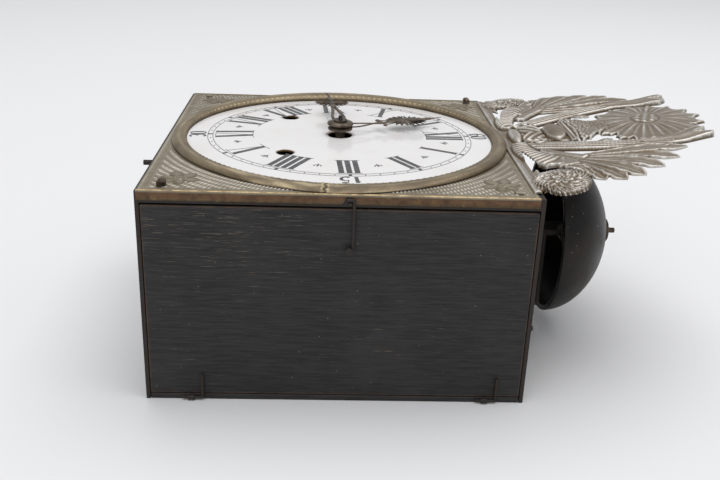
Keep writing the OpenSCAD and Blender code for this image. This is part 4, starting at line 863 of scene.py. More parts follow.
def front_tint(x, y):
    """Tone of the sheet: its height, so the raised dashes and lines get a painted highlight and the ground
    painted shade, but the leaf sprays stay as dull as the ground.
    """
    spray = leaf_spray(x, y)
    # Raised dashes and lines are lighter as a painted highlight, and the ground is darker as painted shade.
    return np.clip(np.where(spray > 0.05, 0.1 + 0.36 * spray, 0.33 + 1.25 * front_relief(x, y)), 0, 1)


def on_front(x, y, height):
    """The sheet lies flat at the top of the case."""
    return np.stack([x, y, FRONT_Z - 0.6 + height], axis=-1)


pitch = 0.7
shell, (x, y) = sheet_shell(front_outline, front_relief, on_front, (-FRONT_FOOT, -FRONT_Y),
                            (FRONT_X, FRONT_Y), pitch, SHEET)
make_piece("front_sheet", shell, "case", stamped_brass, ("front_plate",), crease=55,
           relief=front_tint(x, y))

# %% Folded sides
FOLD_LOW, TEAR_X, TEAR_HALF, TEAR_RISE = 139.0, 3.6, 4.4, 5.0


def folded_side(sign):
    """A long side folded down: a rounded corner, then a wall with a rolled hem, whose lower edge is torn
    up in a V over the latch stud. Profile carried along X; each point slides between the corner and the
    torn edge."""
    x = np.linspace(-FRONT_FOOT, FRONT_X, 325)
    drop = np.linspace(0, 1, 15)
    torn = np.clip(1 - np.abs(x - TEAR_X - 0.5 * np.sin(x * 1.7)) / TEAR_HALF, 0, 1) * (sign < 0)
    low = FOLD_LOW + TEAR_RISE * torn
    height = FRONT_Z - 0.1 + (low[:, None] - FRONT_Z + 0.1) * drop
    bulge = 0.35 * bell_wave(height - 143.4, 0.7) + 0.5 * bell_wave(height - 139.6, 0.6)
    outer = FRONT_Y - 0.5 - 1.0 * np.exp(-(FRONT_Z - height) / 0.4) + bulge
    outer_side = np.stack([np.broadcast_to(x[:, None], height.shape), outer, height], axis=-1)
    inner_side = outer_side - [0, SHEET, 0]
    loop = np.concatenate([outer_side, inner_side[:, ::-1]], axis=1)
    rows, columns = loop.shape[:2]
    pair = np.arange(columns // 2 - 1)
    lid = np.stack([pair, pair + 1, columns - 2 - pair, columns - 1 - pair], -1)
    faces = [grid_faces(rows, columns, close_columns=True), lid, lid[:, ::-1] + (rows - 1) * columns]
    points = loop.reshape(-1, 3) * [1, sign, 1]
    above = points[:, 2] - np.repeat(low, columns)
    # A painted highlight along the rounded top corner of the fold.
    top_highlight = 0.62 * smooth_step(points[:, 2], FRONT_Z - 1.3, FRONT_Z - 0.4)
    hem = 0.42 * smooth_step(above, 1.6, 0.9)
    tear = 0.6 * (np.repeat(torn, columns) > 0) * smooth_step(above, 0.9, 0.2)
    return outward((points, np.concatenate(faces))), np.clip(0.52 + top_highlight - hem + tear, 0, 1)


sides, tints = zip(*[folded_side(sign) for sign in (-1, 1)])
make_piece("front_folds", join_shells(sides), "case", lacquer_wear_and_highlight, crease=55,
           relief=np.concatenate(tints))

# %% [markdown]
# ## Dial ring
#
# A low ring of thin brass holds the dial. Its inner slope carries a row of beads and ends in a rope edge
# on the enamel, and the ring was joined from two halves, so a torn seam crosses it on the III and the IX
# side. A closed profile is turned about the hand axis, and beads, rope and seam are added to its height.

# %% Dial ring
RING_MIDDLE, RING_HALF = 115.9, 5.5
BEADS, ROPE_TURNS = 150, 240
SEAM_X = -10.0
UNDER_R, UNDER_Z = [111.0, 112.1, 112.3, 121.2], [146.6, 146.5, 145.5, 145.4]


def between(value, rise_low, rise_high, fall_low, fall_high):
    """1 on a stretch and 0 outside it: one smooth step up, then one down."""
    return smooth_step(value, rise_low, rise_high) * (1 - smooth_step(value, fall_low, fall_high))


def ring_shell():
    """A low round bar: r = R + w cos a + k sin^2 a, z = foot + H sin^0.9 a, for a from the outer foot
    over the top to the inner edge. It was pressed flat at III, so H and the inner edge change round it
    with the sine of the angle. Gives the shell and its tint, which paints a highlight along the top and on
    the beads, and shade at the outer foot, at the inner edge and underneath."""
    steps = 1440
    curve = np.radians(np.linspace(0, 180, 31))[:, None]
    degrees = np.degrees(curve)
    angle = np.linspace(0, 2 * np.pi, steps, endpoint=False)[None, :]
    x = RING_MIDDLE * np.cos(angle)
    far, near = np.maximum(np.sin(angle), 0), np.maximum(-np.sin(angle), 0)
    on_near = np.sin(angle) < 0

    beads = between(degrees, 128, 136, 146, 154) * (0.5 + 0.5 * np.cos(angle * BEADS)) ** 2
    rope = smooth_step(degrees, 158, 166) * (0.5 + 0.5 * np.cos(angle * ROPE_TURNS + degrees * 0.25))
    seam = bell_wave(x - SEAM_X - 0.8 * np.sin(degrees * 0.1), 0.45)
    torn = bell_wave(np.abs(x - SEAM_X) - 1.8, 0.7) * (0.6 + 0.4 * np.sin(degrees * 0.17))
    crush = 0.4 * bell_wave(x + 4.0, 16.0) * np.sin(x * 0.42) * on_near

    rise = 4.0 + 1.5 * np.sin(angle) - 1.1 * near ** 6 + crush - 0.6 * seam + 0.15 * torn
    foot = FRONT_Z + 1.05 * (1 - np.cos(curve)) / 2
    height = foot + rise * np.sin(curve) ** 0.9 + 0.38 * beads + 0.22 * rope
    edge_shift = 0.7 * near - 4.3 * far ** 1.5
    radius = RING_MIDDLE + RING_HALF * np.cos(curve) + (1.2 + near - 1.5 * far) * np.sin(curve) ** 2
    radius = radius + edge_shift * smooth_step(degrees, 70, 180)
    radius = radius + 4.2 * near ** 8 * (1 - smooth_step(degrees, 0, 80))
    under_r = np.array(UNDER_R)[:, None] + np.array([1, 0, 0, 0])[:, None] * edge_shift
    under_z = np.array(UNDER_Z)[:, None] + 0 * angle
    radius, height = np.concatenate([radius, under_r]), np.concatenate([height, under_z])
    points = np.stack([radius * np.cos(angle), radius * np.sin(angle), height], axis=-1).reshape(-1, 3)

    gilt = bell_wave(x + 34.0, 42.0) * on_near
    streaks = 0.03 * np.sin(angle * 31 + degrees * 0.06) + 0.04 * np.sin(angle * 12 + 1.0 - degrees * 0.04)
    bare = bell_wave(x + 60.0, 9.0) * near * between(degrees, 60, 90, 110, 150)
    # A painted highlight along the top of the ring; on the next line the beads get one too.
    tint = 0.48 + 0.2 * between(degrees, 74, 100, 104, 124) + (0.09 + 3.0 * streaks) * gilt + streaks
    tint = tint + 0.25 * beads + 0.4 * bare + 0.5 * torn * near - 0.9 * seam
    # Painted shade at the outer foot and at the inner edge, where the rope's crests stay lighter.
    tint = tint - 0.3 * smooth_step(degrees, 20, 4) - (0.55 - 0.45 * rope) * smooth_step(degrees, 158, 170)
    # The underside gets painted shade.
    tint = np.concatenate([np.clip(tint, 0, 1), np.full(under_r.shape, 0.2)])
    faces = grid_faces(len(radius), steps, close_rows=True, close_columns=True)
    return outward((points, faces)), tint.ravel()


shell, tint = ring_shell()
make_piece("dial_ring_brass", shell, "case", ring_brass, ("dial_ring",), crease=60,
           relief=tint)

# %% [markdown]
# ## Enamel dial
#
# The dial is a shallow dome with three holes. It is made as the stamped sheets are: a square grid is
# clipped to the rim and the holes, its border slides onto them, and a wall goes down through the
# thickness.

# %% Enamel dial
DIAL_R, DIAL_EDGE_Z, DIAL_DOME = 111.8, 146.5, 0.8
ENAMEL, DIAL_PITCH = 1.0, 1.6


def dome(reach):
    """Top of the enamel: edge + rise (1 - (r / R)^2)."""
    return DIAL_EDGE_Z + DIAL_DOME * (1 - (reach / DIAL_R) ** 2)


def hole_distance(x, y):
    """Distance outside the nearest of the three holes."""
    winding = np.hypot(x - WINDING_X, np.abs(y) - WINDING_Y) - WINDING_HOLE
    return np.minimum(np.hypot(x, y) - HAND_HOLE, winding)


def dial_outline(x, y):
    """Positive on the enamel: inside the rim and outside the holes."""
    return np.minimum(DIAL_R - np.hypot(x, y), hole_distance(x, y))


def dial_height(x, y):
    """The dome, which falls away a little at the lip of each hole."""
    return dome(np.hypot(x, y)) - 0.5 * np.exp(-np.clip(hole_distance(x, y), 0, None) / 0.5)


def upright(x, y, z):
    """The dial's own coordinates are those of the clock."""
    return np.stack([x, y, z], axis=-1)


shell, _ = sheet_shell(dial_outline, dial_height, upright, (-DIAL_R, -DIAL_R), (DIAL_R, DIAL_R),
                       DIAL_PITCH, ENAMEL)
make_piece("dial_enamel", shell, "case", enamel, ("enamel_dial",), crease=50)

# %% [markdown]
# ## Figures on the dial
#
# The hours are Roman, written out from the centre, between two hairlines; a minute track runs outside
# them and the quarters carry bold numbers. Each stroke is a thin strip bent over the dome, so the figures
# stand on the enamel as fired ink does. A strip is a path with a width, mapped from upright (x, r) to the
# dial by turning x / r.

# %% Strokes and hours
FIGURE_LOW, FIGURE_HIGH = 63.5, 90.3
INK = 0.12
DIAL_TURN = math.radians(3.4)
BOLD_BAR, FINE_BAR = 3.6, 0.45
LETTER_WIDE = {"I": 5.2, "V": 12.6, "X": 12.6}
# bars of each letter: x at the centre side and at the rim side, from the letter's middle, and thickness
LETTER_BARS = {"I": [(0.0, 0.0, BOLD_BAR)], "V": [(-0.4, -4.2, BOLD_BAR), (0.4, 4.4, FINE_BAR)],
               "X": [(4.0, -4.0, BOLD_BAR), (-4.3, 4.3, FINE_BAR)]}
HOURS = ["XII", "I", "II", "III", "IIII", "V", "VI", "VII", "VIII", "IX", "X", "XI"]
HOUR = np.pi / 6


def on_dial(turn_by, x, reach):
    """Upright figure coordinates to the dial: clockwise angle = turn + x / r, from XII near +X towards
    -Y; the dial sits a few degrees askew in its ring."""
    angle = turn_by + x / reach - DIAL_TURN
    return np.stack([reach * np.cos(angle), -reach * np.sin(angle), dome(reach) + INK], axis=-1)


def strip(turn_by, left_x, right_x, left_r, right_r, ring=False):
    """One stroke of ink between a left and a right line of points, with its lower face and edges closed.
    A ring joins its own end."""
    left, right = on_dial(turn_by, left_x, left_r), on_dial(turn_by, right_x, right_r)
    loop = np.stack([left, right, right - [0, 0, 2 * INK], left - [0, 0, 2 * INK]], axis=1)
    count = len(left)
    faces = grid_faces(count, 4, close_rows=ring, close_columns=True)
    if not ring:
        lids = np.array([[0, 1, 2, 3], [3, 2, 1, 0]]) + np.array([[0], [(count - 1) * 4]])
        faces = np.concatenate([faces, lids])
    return outward((loop.reshape(-1, 3), faces))


def roman(text, turn_by):
    """Strokes of one hour: I is a bar, V two bars that meet at the centre side, X two that cross; serif lines
    close it."""
    total = sum(LETTER_WIDE[letter] for letter in text)
    fine = np.linspace(0, 1, 9)
    reach = FIGURE_LOW + (FIGURE_HIGH - FIGURE_LOW) * fine
    strokes = []
    at = -total / 2
    for letter in text:
        middle = at + LETTER_WIDE[letter] / 2
        at += LETTER_WIDE[letter]
        for foot, head, thick in LETTER_BARS[letter]:
            x = middle + foot + (head - foot) * fine
            strokes.append(strip(turn_by, x - thick / 2, x + thick / 2, reach, reach))
    across = np.linspace(-total / 2 - 0.6, total / 2 + 0.6, 12)
    for line in (FIGURE_LOW, FIGURE_HIGH):
        strokes.append(strip(turn_by, across, across, np.full(12, line - 0.18), np.full(12, line + 0.18)))
    return strokes


marks = [mark for hour, text in enumerate(HOURS) for mark in roman(text, hour * HOUR)]
print("strokes of the hours:", len(marks))

# %% Minute track
TRACK_MIDDLE, TRACK_LINES, HAIRLINE = 94.05, (92.2, 95.9), 0.4


def circle_line(radius):
    """A hairline circle, as a strip that goes all the way round."""
    angle = np.linspace(0, 2 * np.pi, 240, endpoint=False)
    inner, outer = np.full(240, radius - HAIRLINE / 2), np.full(240, radius + HAIRLINE / 2)
    return strip(0.0, angle * inner, angle * outer, inner, outer, ring=True)


marks += [circle_line(radius) for radius in TRACK_LINES]
for minute in range(60):
    five = minute % 5 == 0
    spread = np.array([0.9, 1.1, 1.4]) if five else np.array([0.1, 0.6, 0.1])
    reach = TRACK_MIDDLE + np.array([-1.0, 0.0, 1.0]) * (1.9 if five else 0.7)
    marks.append(strip(minute * HOUR / 5, -spread, spread, reach, reach))
print("strokes with the track:", len(marks))

# %% Quarter numbers and ornaments
NUMBER_BASE, NUMBER_SIZE, NUMBER_STEP, NUMBER_R, BOLD = 97.6, 10.8, 7.2, 105.0, 1.35
ORNAMENT_BASE, ORNAMENT_SIZE = 74.0, 5.5
# each brush stroke: knots (x, y) in figure heights, then the width at each knot
DIGITS = {
    "1": [([(0, 0), (0, .5), (0, 1)], [.17, .17, .17]), ([(-.2, .8), (-.1, .86), (0, 1)], [.04, .06, .1])],
    "5": [([(-.14, .97), (.05, .95), (.24, 1)], [.05, .12, .05]),
          ([(-.14, .97), (-.15, .75), (-.17, .55)], [.05] * 3),
          ([(-.17, .55), (.03, .64), (.24, .48), (.24, .2), (.05, .02), (-.2, .1)],
           [.04, .07, .15, .15, .06, .17])],
    "0": [([(0, 0), (-.2, .15), (-.25, .5), (-.2, .85), (0, 1)], [.05, .12, .16, .12, .05]),
          ([(0, 0), (.2, .15), (.25, .5), (.2, .85), (0, 1)], [.05, .12, .16, .12, .05])],
    "3": [([(-.2, .88), (0, 1), (.2, .84), (.14, .62), (-.04, .54)], [.15, .06, .13, .12, .05]),
          ([(-.04, .54), (.18, .46), (.24, .22), (.05, .01), (-.22, .12)], [.05, .12, .15, .06, .17])],
    "4": [([(.12, 0), (.12, .5), (.12, 1)], [.16] * 3), ([(.12, .98), (-.1, .62), (-.28, .3)], [.05] * 3),
          ([(-.28, .3), (0, .3), (.28, .3)], [.06] * 3)],
    "6": [([(.2, .9), (0, 1), (-.2, .75), (-.24, .4), (-.12, .04), (.05, 0)], [.15, .06, .12, .16, .1, .05]),
          ([(.05, 0), (.22, .12), (.24, .36), (.06, .56), (-.2, .42)], [.05, .12, .15, .06, .04])],
}
ORNAMENT = [([(0, 0), (0, .5), (0, 1)], [.05, .26, .04]), ([(-.45, .75), (-.3, .4), (0, .3)], [.2, .1, .04]),
            ([(.45, .75), (.3, .4), (0, .3)], [.2, .1, .04]), ([(0, .3), (0, .1), (0, -.1)], [.04, .16, .04])]


def brush(turn_by, base, size, knots, widths):
    """A curved stroke: a path through knots (in figure heights), with a width at each, smoothed by a
    polynomial."""
    knots = np.array(knots, dtype=float)
    knot_at = np.linspace(0, 1, len(knots))
    fine = np.linspace(0, 1, 7 * len(knots))
    grade = min(len(knots) - 1, 5)
    x, y = (np.polyval(np.polyfit(knot_at, knots[:, k], grade), fine) for k in (0, 1))
    half = np.interp(fine, knot_at, widths) / 2
    dx, dy = np.gradient(x), np.gradient(y)
    length = np.hypot(dx, dy) + 1e-9
    off_x, off_y = -dy / length * half, dx / length * half
    return strip(turn_by, size * (x + off_x), size * (x - off_x), base + size * (y + off_y),
                 base + size * (y - off_y))


for hour, number in ((0, "60"), (3, "15"), (6, "30"), (9, "45")):
    for place_in, digit in zip((-0.5, 0.5), number):
        turn_by = hour * HOUR + place_in * NUMBER_STEP / NUMBER_R
        marks += [brush(turn_by, NUMBER_BASE, NUMBER_SIZE, knots, np.array(widths) * BOLD)
                  for knots, widths in DIGITS[digit]]
for hour in range(12):
    marks += [brush((hour + 0.5) * HOUR, ORNAMENT_BASE, ORNAMENT_SIZE, *stroke) for stroke in ORNAMENT]
make_piece("dial_figures", join_shells(marks), "case", ink)

# %% [markdown]
# ## Hands
#
# Each hand is sawn from thin brass: two wires leave a round collet, meet at a small cross piece, part
# again and hold a sun with thin rays, and a long point goes on beyond it. The wires are tubes, the sun a
# star drawn in polar coordinates and given thickness.


# %% Parts of the hands
def curve_through(knots, count=24):
    """A smooth path through a few knots: one polynomial of the lowest degree that fits them all."""
    knots = np.asarray(knots, dtype=float)
    knot_at = np.linspace(0, 1, len(knots))
    fine = np.linspace(0, 1, count)
    fits = [np.polyfit(knot_at, column, len(knots) - 1) for column in knots.T]
    return np.stack([np.polyval(fit, fine) for fit in fits], axis=-1)


def wire_through(knots, middle, radius, flat, count=24):
    """A flattened wire through knots (x, y), all at the height middle."""
    return tube(curve_through([(x, y, middle) for x, y in knots], count), radius, flat=flat)


def straight_wire(start, end, middle, share, radius, flat):
    """A flattened wire along X whose radius changes with share."""
    spine = np.stack([start + (end - start) * share, 0 * share, middle + 0 * share], axis=-1)
    return tube(spine, radius, flat=flat)


def star_plate(centre, rays, body, tips, low, high):
    """A rayed sun: (x, y) = body + (tips - body) |cos(n a / 2)|^12 times (cos a, sin a), filled from its
    middle, domed on top and flat below. body and tips are half-sizes along and across the hand."""
    steps, rings = rays * 16, 8
    angle = np.linspace(0, 2 * np.pi, steps, endpoint=False)
    spike = np.abs(np.cos(angle * rays / 2)) ** 12
    share = np.linspace(0.12, 1, rings)[:, None]
    x = centre + share * (body[0] + (tips[0] - body[0]) * spike) * np.cos(angle)
    y = share * (body[1] + (tips[1] - body[1]) * spike) * np.sin(angle)
    lift = (high - low) * (0.35 + 1.4 * round_top(share))
    top = np.stack([x, y, low + lift + 0 * x], axis=-1)
    under = np.stack([x, y, low + 0 * x], axis=-1)[::-1]
    points = np.concatenate([top, under]).reshape(-1, 3)
    faces = grid_faces(2 * rings, steps, close_columns=True)[:, ::-1]
    poles = np.array([[centre, 0, low + (high - low) * 1.75], [centre, 0, low]])
    return capped(points, faces, poles, steps)


def forked_shank(cross, root, middle, wire):
    """The hour hand's shank: two wires that bow out, cross, and end in a bow-tie with knobs; three more
    reach the sun."""
    parts = []
    for sign in (-1, 1):
        bow = [(7, 3.0 * sign), (15, 4.2 * sign), (cross - 8, 0.6 * sign), (cross, -1.8 * sign)]
        tie = [(cross, 0.8 * sign), (cross + 1.0, 3.8 * sign), (cross - 0.4, 6.8 * sign)]
        brace = [(cross - 0.5, 5.6 * sign), (cross + 4, 4.8 * sign), (root, 2.6 * sign)]
        parts.append(wire_through(bow, middle, wire, 0.7))
        parts.append(wire_through(tie, middle, np.linspace(0.9, 1.6, 24), 0.55))
        parts.append(wire_through(brace, middle, wire * 0.85, 0.6))
    parts.append(wire_through([(cross - 1.0, 0), (root, 0)], middle, wire * 1.2, 0.6, 6))
    return parts


def solid_shank(cross, root, middle, wire):
    """The minute hand's shank: two stout wires that close to a flat neck, which widens to the sun."""
    parts = []
    for sign in (-1, 1):
        bow = [(6, 3.8 * sign), (15, 4.2 * sign), (24, 3.0 * sign), (cross, 1.0 * sign)]
        parts.append(wire_through(bow, middle, wire, 0.7))
    neck = np.linspace(0, 1, 16)
    parts.append(straight_wire(cross - 2, root + 2, middle, neck, 2.0 + 1.6 * neck ** 2, 0.3))
    return parts


print("parts of the hands ready")

# %% Hands
HAND_THICK = 0.8
SUN_RAYS = 20
BORE = 3.6
COLLET_R = np.array([-1.3, -0.2, 0.0, -0.1, -1.2, -2.4])
COLLET_Z = [0.0, 0.25, 0.8, 1.5, 2.2]


def hand_shell(shank, low, high, length, sun, body, tips, angle, wire, collet_low, collet_r):
    """All parts of one hand along +X, then turned about Z by the angle."""
    middle = (low + high) / 2
    after = sun + body[0]
    parts = shank(sun - body[0] - 8.5, sun - body[0] + 2, middle, wire)
    for sign in (-1, 1):
        barb = [(after - 2, 1.6 * sign), (after + 3, 2.0 * sign), (after + 8, 3.2 * sign)]
        parts.append(wire_through(barb, middle, np.linspace(0.8, 0.3, 24), 0.6))
    parts.append(star_plate(sun, SUN_RAYS, body, tips, low, high))
    tip = np.linspace(0, 1, 20)
    parts.append(straight_wire(sun + 7, length, middle, tip, 1.2 * (1 - tip) ** 0.7 + 0.28, 0.55))
    disc_r = np.append(COLLET_R + collet_r, [BORE, BORE])
    disc_z = np.append(np.array(COLLET_Z) + collet_low, [high, high, collet_low])
    parts.append(turned(disc_r, disc_z, 48, closed=True))
    points, faces = join_shells([outward(part) for part in parts])
    return spun(points, angle), faces


# node, body, shank, length, middle of the sun, half-sizes of its disc and rays, angle, wire and collet radius
hands = (("hour_hand", "hour", forked_shank, 85.0, 54.5, (12.0, 6.2), (16.0, 14.2), 23.5, 0.75, 9.0),
         ("minute_hand", "minute", solid_shank, 92.0, 59.0, (5.0, 4.5), (13.0, 13.6), 96.0, 1.2, 9.6))
for node, body, shank, length, sun, disc, tips, degrees, wire, collet_r in hands:
    base, top = (corner[2] for corner in box_mm(node))
    shell = hand_shell(shank, top - HAND_THICK, top, length, sun, disc, tips, math.radians(degrees), wire,
                       base, collet_r)
    make_piece(node + "_sawn", shell, body, bronze_hands, (node,))

# %% [markdown]
# ## Corner studs
#
# Four square-headed nails hold the brass front at its corners. A head is a short block with a low pyramid
# on it, which is a profile turned in four steps. Two have worked loose and lean; the other two are driven
# home.

# %% Corner studs
STUD_X, STUD_Y = 110.0, 117.0
STUD_R, STUD_Z = [3.2, 3.7, 3.7, 3.3, 1.8, 0.6], np.array([-0.6, 0.0, 2.9, 3.4, 4.4, 4.6])
LEAN = math.tan(math.radians(14.0))
DRIVEN = 0.3


def stud(sign_x, sign_y, tall, lean):
    """One head at a corner, its height times tall; leaning shifts y by lean times z."""
    points, faces = turned(STUD_R, STUD_Z * tall, 4)
    points = spun(points, math.pi / 4)
    points[:, 1] += lean * points[:, 2]
    return outward((points + [sign_x * STUD_X, sign_y * STUD_Y, FRONT_Z - 0.2], faces))


nails = join_shells([stud(-1, -1, 1.0, -LEAN), stud(1, 1, 1.0, LEAN)])
caps = join_shells([stud(-1, 1, DRIVEN, 0.0), stud(1, -1, DRIVEN, 0.0)])
make_piece("corner_stud_heads", nails, "case", stud_brown, ("corner_studs",), crease=25)
make_piece("corner_stud_caps", caps, "case", stamped_brass, crease=25,
           relief=np.full(len(caps[0]), 0.55))

# %% [markdown]
# ## Pediment
#
# The crest over the dial is one sheet of brass beaten from behind into a vase of flowers, horns of
# plenty, curling leaves and a sunflower, with the ground cut away between them. It is far too free for a
# plain box, but every motif is a simple formula: a leaf is a distance from its spine, a flower a wave
# round its centre. Each motif gives a margin, positive inside, and a height; the sheet keeps the highest
# of all, and its edge is where the margins end. u runs up the sheet, and w to either side of its middle.

# %% Leaves, stems and flowers
FAR = 99.0
END_SLOPE = 60
LEAF_LIFT, LEAF_TIP = 2.2, 0.5


def near_curve(u, w, knots, reach):
    """Nearest place on a smooth path: t from 0 to 1 along it, and the signed distance off it, or a large
    one where the path is out of reach."""
    path = curve_through(knots, 56)
    t, away = np.full(u.shape, 2.0), np.full(u.shape, FAR)
    low, high = path.min(0) - reach, path.max(0) + reach
    box = (u > low[0]) & (u < high[0]) & (w > low[1]) & (w < high[1])
    if not box.any():
        return t, away
    pu, pw = u[box], w[box]
    nearest = np.argmin((pu[:, None] - path[:, 0]) ** 2 + (pw[:, None] - path[:, 1]) ** 2, axis=1)
    along = np.gradient(path, axis=0)
    pace = np.linalg.norm(along, axis=1)
    way = (along / pace[:, None])[nearest]
    du, dw = pu - path[nearest, 0], pw - path[nearest, 1]
    t[box] = (nearest + (du * way[:, 0] + dw * way[:, 1]) / pace[nearest]) / (len(path) - 1)
    away[box] = way[:, 0] * dw - way[:, 1] * du
    return t, away


def past_ends(t):
    """How far t lies outside 0 to 1, as a distance."""
    return np.maximum(np.maximum(-t, t - 1), 0) * END_SLOPE


def leaf(u, w, knots, width, base):
    """A lobe: half-width grows from a narrow root and rounds off to a point; cupped, with a rim on both
    sides and a vein down the middle, sinking to its tip."""
    t, away = near_curve(u, w, knots, width + 3)
    run = np.clip(t, 0, 1)
    half = width * (0.16 + 0.9 * run ** 0.7) * (1 - run ** 4.5) ** 0.6
    half = half * (1 + 0.09 * np.cos(run * 30) * (run > 0.45))
    share = np.clip(np.abs(away) / np.maximum(half, 0.3), 0, 1)
    vein = bell_wave(share, 0.16) * (1 - 0.6 * run)
    height = base + LEAF_LIFT * (0.15 + 0.85 * share ** 2 + 0.35 * vein)
    height = height + (LEAF_TIP - base) * smooth_step(run, 0.6, 1.0)
    return half - np.abs(away) - past_ends(t), height


def band(u, w, knots, start, end, base, lift, flutes, ribs):
    """A stem or horn: half-width runs from start to end, half-round across, with flutes along it or ribs
    across."""
    t, away = near_curve(u, w, knots, max(start, end) + 3)
    run = np.clip(t, 0, 1)
    half = start + (end - start) * run
    share = np.clip(np.abs(away) / half, 0, 1)
    height = base + lift * np.sqrt(1 - 0.95 * share ** 2)
    height = height + (0.45 * np.cos(np.pi * flutes * share) if flutes else 0)
    height = height + (1.3 * np.abs(np.sin(np.pi * ribs * (run + 0.05 * share ** 2))) if ribs else 0)
    return half - np.abs(away) - past_ends(t), height


def sunflower(u, v, centre, radius, petals):
    """Petals edge to edge on a dome: r(a) = R(1 - d wave^2 - teeth), softly ridged along, round a rough
    heart. It was pressed wider on the III side."""
    du, dv = u - centre[0], (v - centre[1]) / np.where(v < centre[1], 1.2, 1.06)
    reach, angle = np.hypot(du, dv), np.arctan2(dv, du)
    wave = np.abs(np.sin(angle * petals / 2))
    teeth = 0.06 * np.abs(np.sin(angle * petals * 1.5))
    edge = radius * (1 - (0.16 - 0.1 * np.abs(np.sin(angle)) ** 3) * wave ** 2 - teeth)
    share = np.clip(reach / radius, 0, 1)
    ridges = 0.5 * (1 - wave ** 2) + 0.5 * np.abs(np.cos(angle * petals)) ** 3
    height = 4.4 - 3.6 * share ** 2 + smooth_step(share, 0.2, 0.55) * ridges
    heart = np.clip(1 - reach / (0.23 * radius), 0, 1)
    rough = 0.4 * np.cos(du * 1.1 + dv * 0.4) * np.cos(dv * 0.9) * (heart > 0)
    height = height + 0.9 * np.sqrt(heart) + rough
    return edge - reach, height - 0.5 * bell_wave(reach - 0.24 * radius, 1.5)


def roundel(u, w, centre, radius, fringe):
    """A tuft of curled leaves, turned more the further out: scallops in rings that rise to a bright lip,
    combed by strokes, with long teeth round it."""
    du, dw = u - centre[0], (w - centre[1]) * 0.93
    reach = np.hypot(du, dw)
    share = np.clip(reach / radius, 0, 1)
    angle = np.arctan2(dw, du) + 0.9 * share ** 2
    edge = radius * (1.02 - 0.22 * np.abs(np.sin(angle * fringe / 2)) ** 0.8)
    ring = np.floor(share * 2.9)
    scallop = np.abs(np.sin(angle * (3.0 + 2.5 * ring) + 1.3 * ring))
    lip = (share * 2.9 + 0.6 * (1 - scallop)) % 1.0
    inner = 1 - smooth_step(share, 0.55, 0.72)
    strokes = 0.5 * np.abs(np.cos(angle * fringe / 4 + 3 * lip)) * inner
    rays = 1.2 * np.abs(np.cos(angle * fringe / 2)) ** 1.5 * smooth_step(share, 0.55, 0.7)
    return edge - reach, 1.2 + 2.0 * (1 - share ** 2) + 1.3 * lip ** 2 * inner + strokes + rays


def scroll(u, w, centre, radius):
    """A small rolled end: one ridge that winds inward, height 1 + cos(a + k r), under a dome."""
    du, dw = u - centre[0], w - centre[1]
    reach, angle = np.hypot(du, dw), np.arctan2(dw, du)
    return radius - reach, 2.2 + 1.6 * round_top(reach / radius) + 0.8 * np.cos(angle + reach * 1.6)


print("leaves, stems and flowers ready")

# %% Middle of the pediment
COLUMN_WIDTH = ([-3, 4, 9, 14, 20, 27, 31, 38, 45, 49, 53, 58, 66, 75],
                [24, 24, 20, 18, 20, 17, 16, 20, 23, 31, 28, 24, 16, 9])
POSY_SEED, POSY_COUNT, POSY_SPAN, POSY_SIZE, POSY_BASE = 5, 46, (52, 76), 4.6, 0.9
BOSS_U, BOSS_HALF_U, BOSS_HALF_W = 8.4, 4.6, 16.5
KNOT_U, KNOT_HALF_U, KNOT_HALF_W = 20.5, 8.5, 17
VASE_U, VASE_HALF_U, VASE_HALF_W = 37.3, 8.0, 18.5
COLLAR_U = 51.5


def posy(u, w):
    """A cluster of small blossoms: the highest of many little domes with five-petal ripples, set by a fixed
    seed."""
    chance = np.random.default_rng(POSY_SEED)
    height = np.full(u.shape, POSY_BASE)
    for _ in range(POSY_COUNT):
        centre_u = chance.uniform(*POSY_SPAN)
        centre_w = chance.uniform(0, 1) * np.interp(centre_u, *COLUMN_WIDTH)
        radius = POSY_SIZE * chance.uniform(0.75, 1.25)
        du, dw = u - centre_u, w - centre_w
        reach, angle = np.hypot(du, dw), np.arctan2(dw, du)
        within = reach < radius
        petals = 0.25 * np.cos(5 * angle + centre_u) * within
        top = POSY_BASE + 2.6 * round_top(reach / radius) + petals - 1.1 * bell_wave(reach, 0.3 * radius)
        height = np.maximum(height, np.where(within, top, POSY_BASE))
    return height


def vase_share(u, w):
    """0 in the middle of the vase, 1 on its edge."""
    return np.hypot((u - VASE_U) / VASE_HALF_U, w / VASE_HALF_W)


def column_part(u, w):
    """The middle: boss, knot, vase, collar and flowers, as one width that changes up the sheet."""
    ragged = 1.6 * np.cos(u * 1.5 + w * 0.8) * smooth_step(u, 53, 56)
    margin = np.minimum(np.interp(u, *COLUMN_WIDTH) - w + ragged, np.minimum(u + 3, 77 - u - 0.02 * w ** 2))
    height = np.where(u < POSY_SPAN[0], 1.4, posy(u, w))
    boss = np.hypot((u - BOSS_U) / BOSS_HALF_U, w / BOSS_HALF_W)
    height = np.maximum(height, np.where(boss < 1, 1.5 + 4.6 * round_top(boss), 0))
    off = u - KNOT_U
    twist = 0.9 * np.cos((off * 0.75 + w * 0.66) * 1.05) * smooth_step(9 - np.abs(off), 0, 2)
    knot = 2.2 + 1.9 * round_top(off / KNOT_HALF_U) + twist
    height = np.maximum(height, np.where((np.abs(off) < KNOT_HALF_U) & (w < KNOT_HALF_W), knot, 0))
    vase = vase_share(u, w)
    height = np.maximum(height, np.where(vase < 1, 1.8 + 4.2 * round_top(vase), 0))
    ripple = 2.2 + 0.8 * np.abs(np.sin(w * 0.85)) + 0.5 * np.cos(u * 2.1)
    height = np.where((u > 44.5) & (u < 50) & (vase >= 0.97), np.maximum(height, ripple), height)
    collar = 2.4 * round_top((u - COLLAR_U + 0.004 * w ** 2) / 1.1)
    return margin, np.maximum(height, np.where(collar > 0, 1.5 + collar, 0))


print("blossoms:", POSY_COUNT)

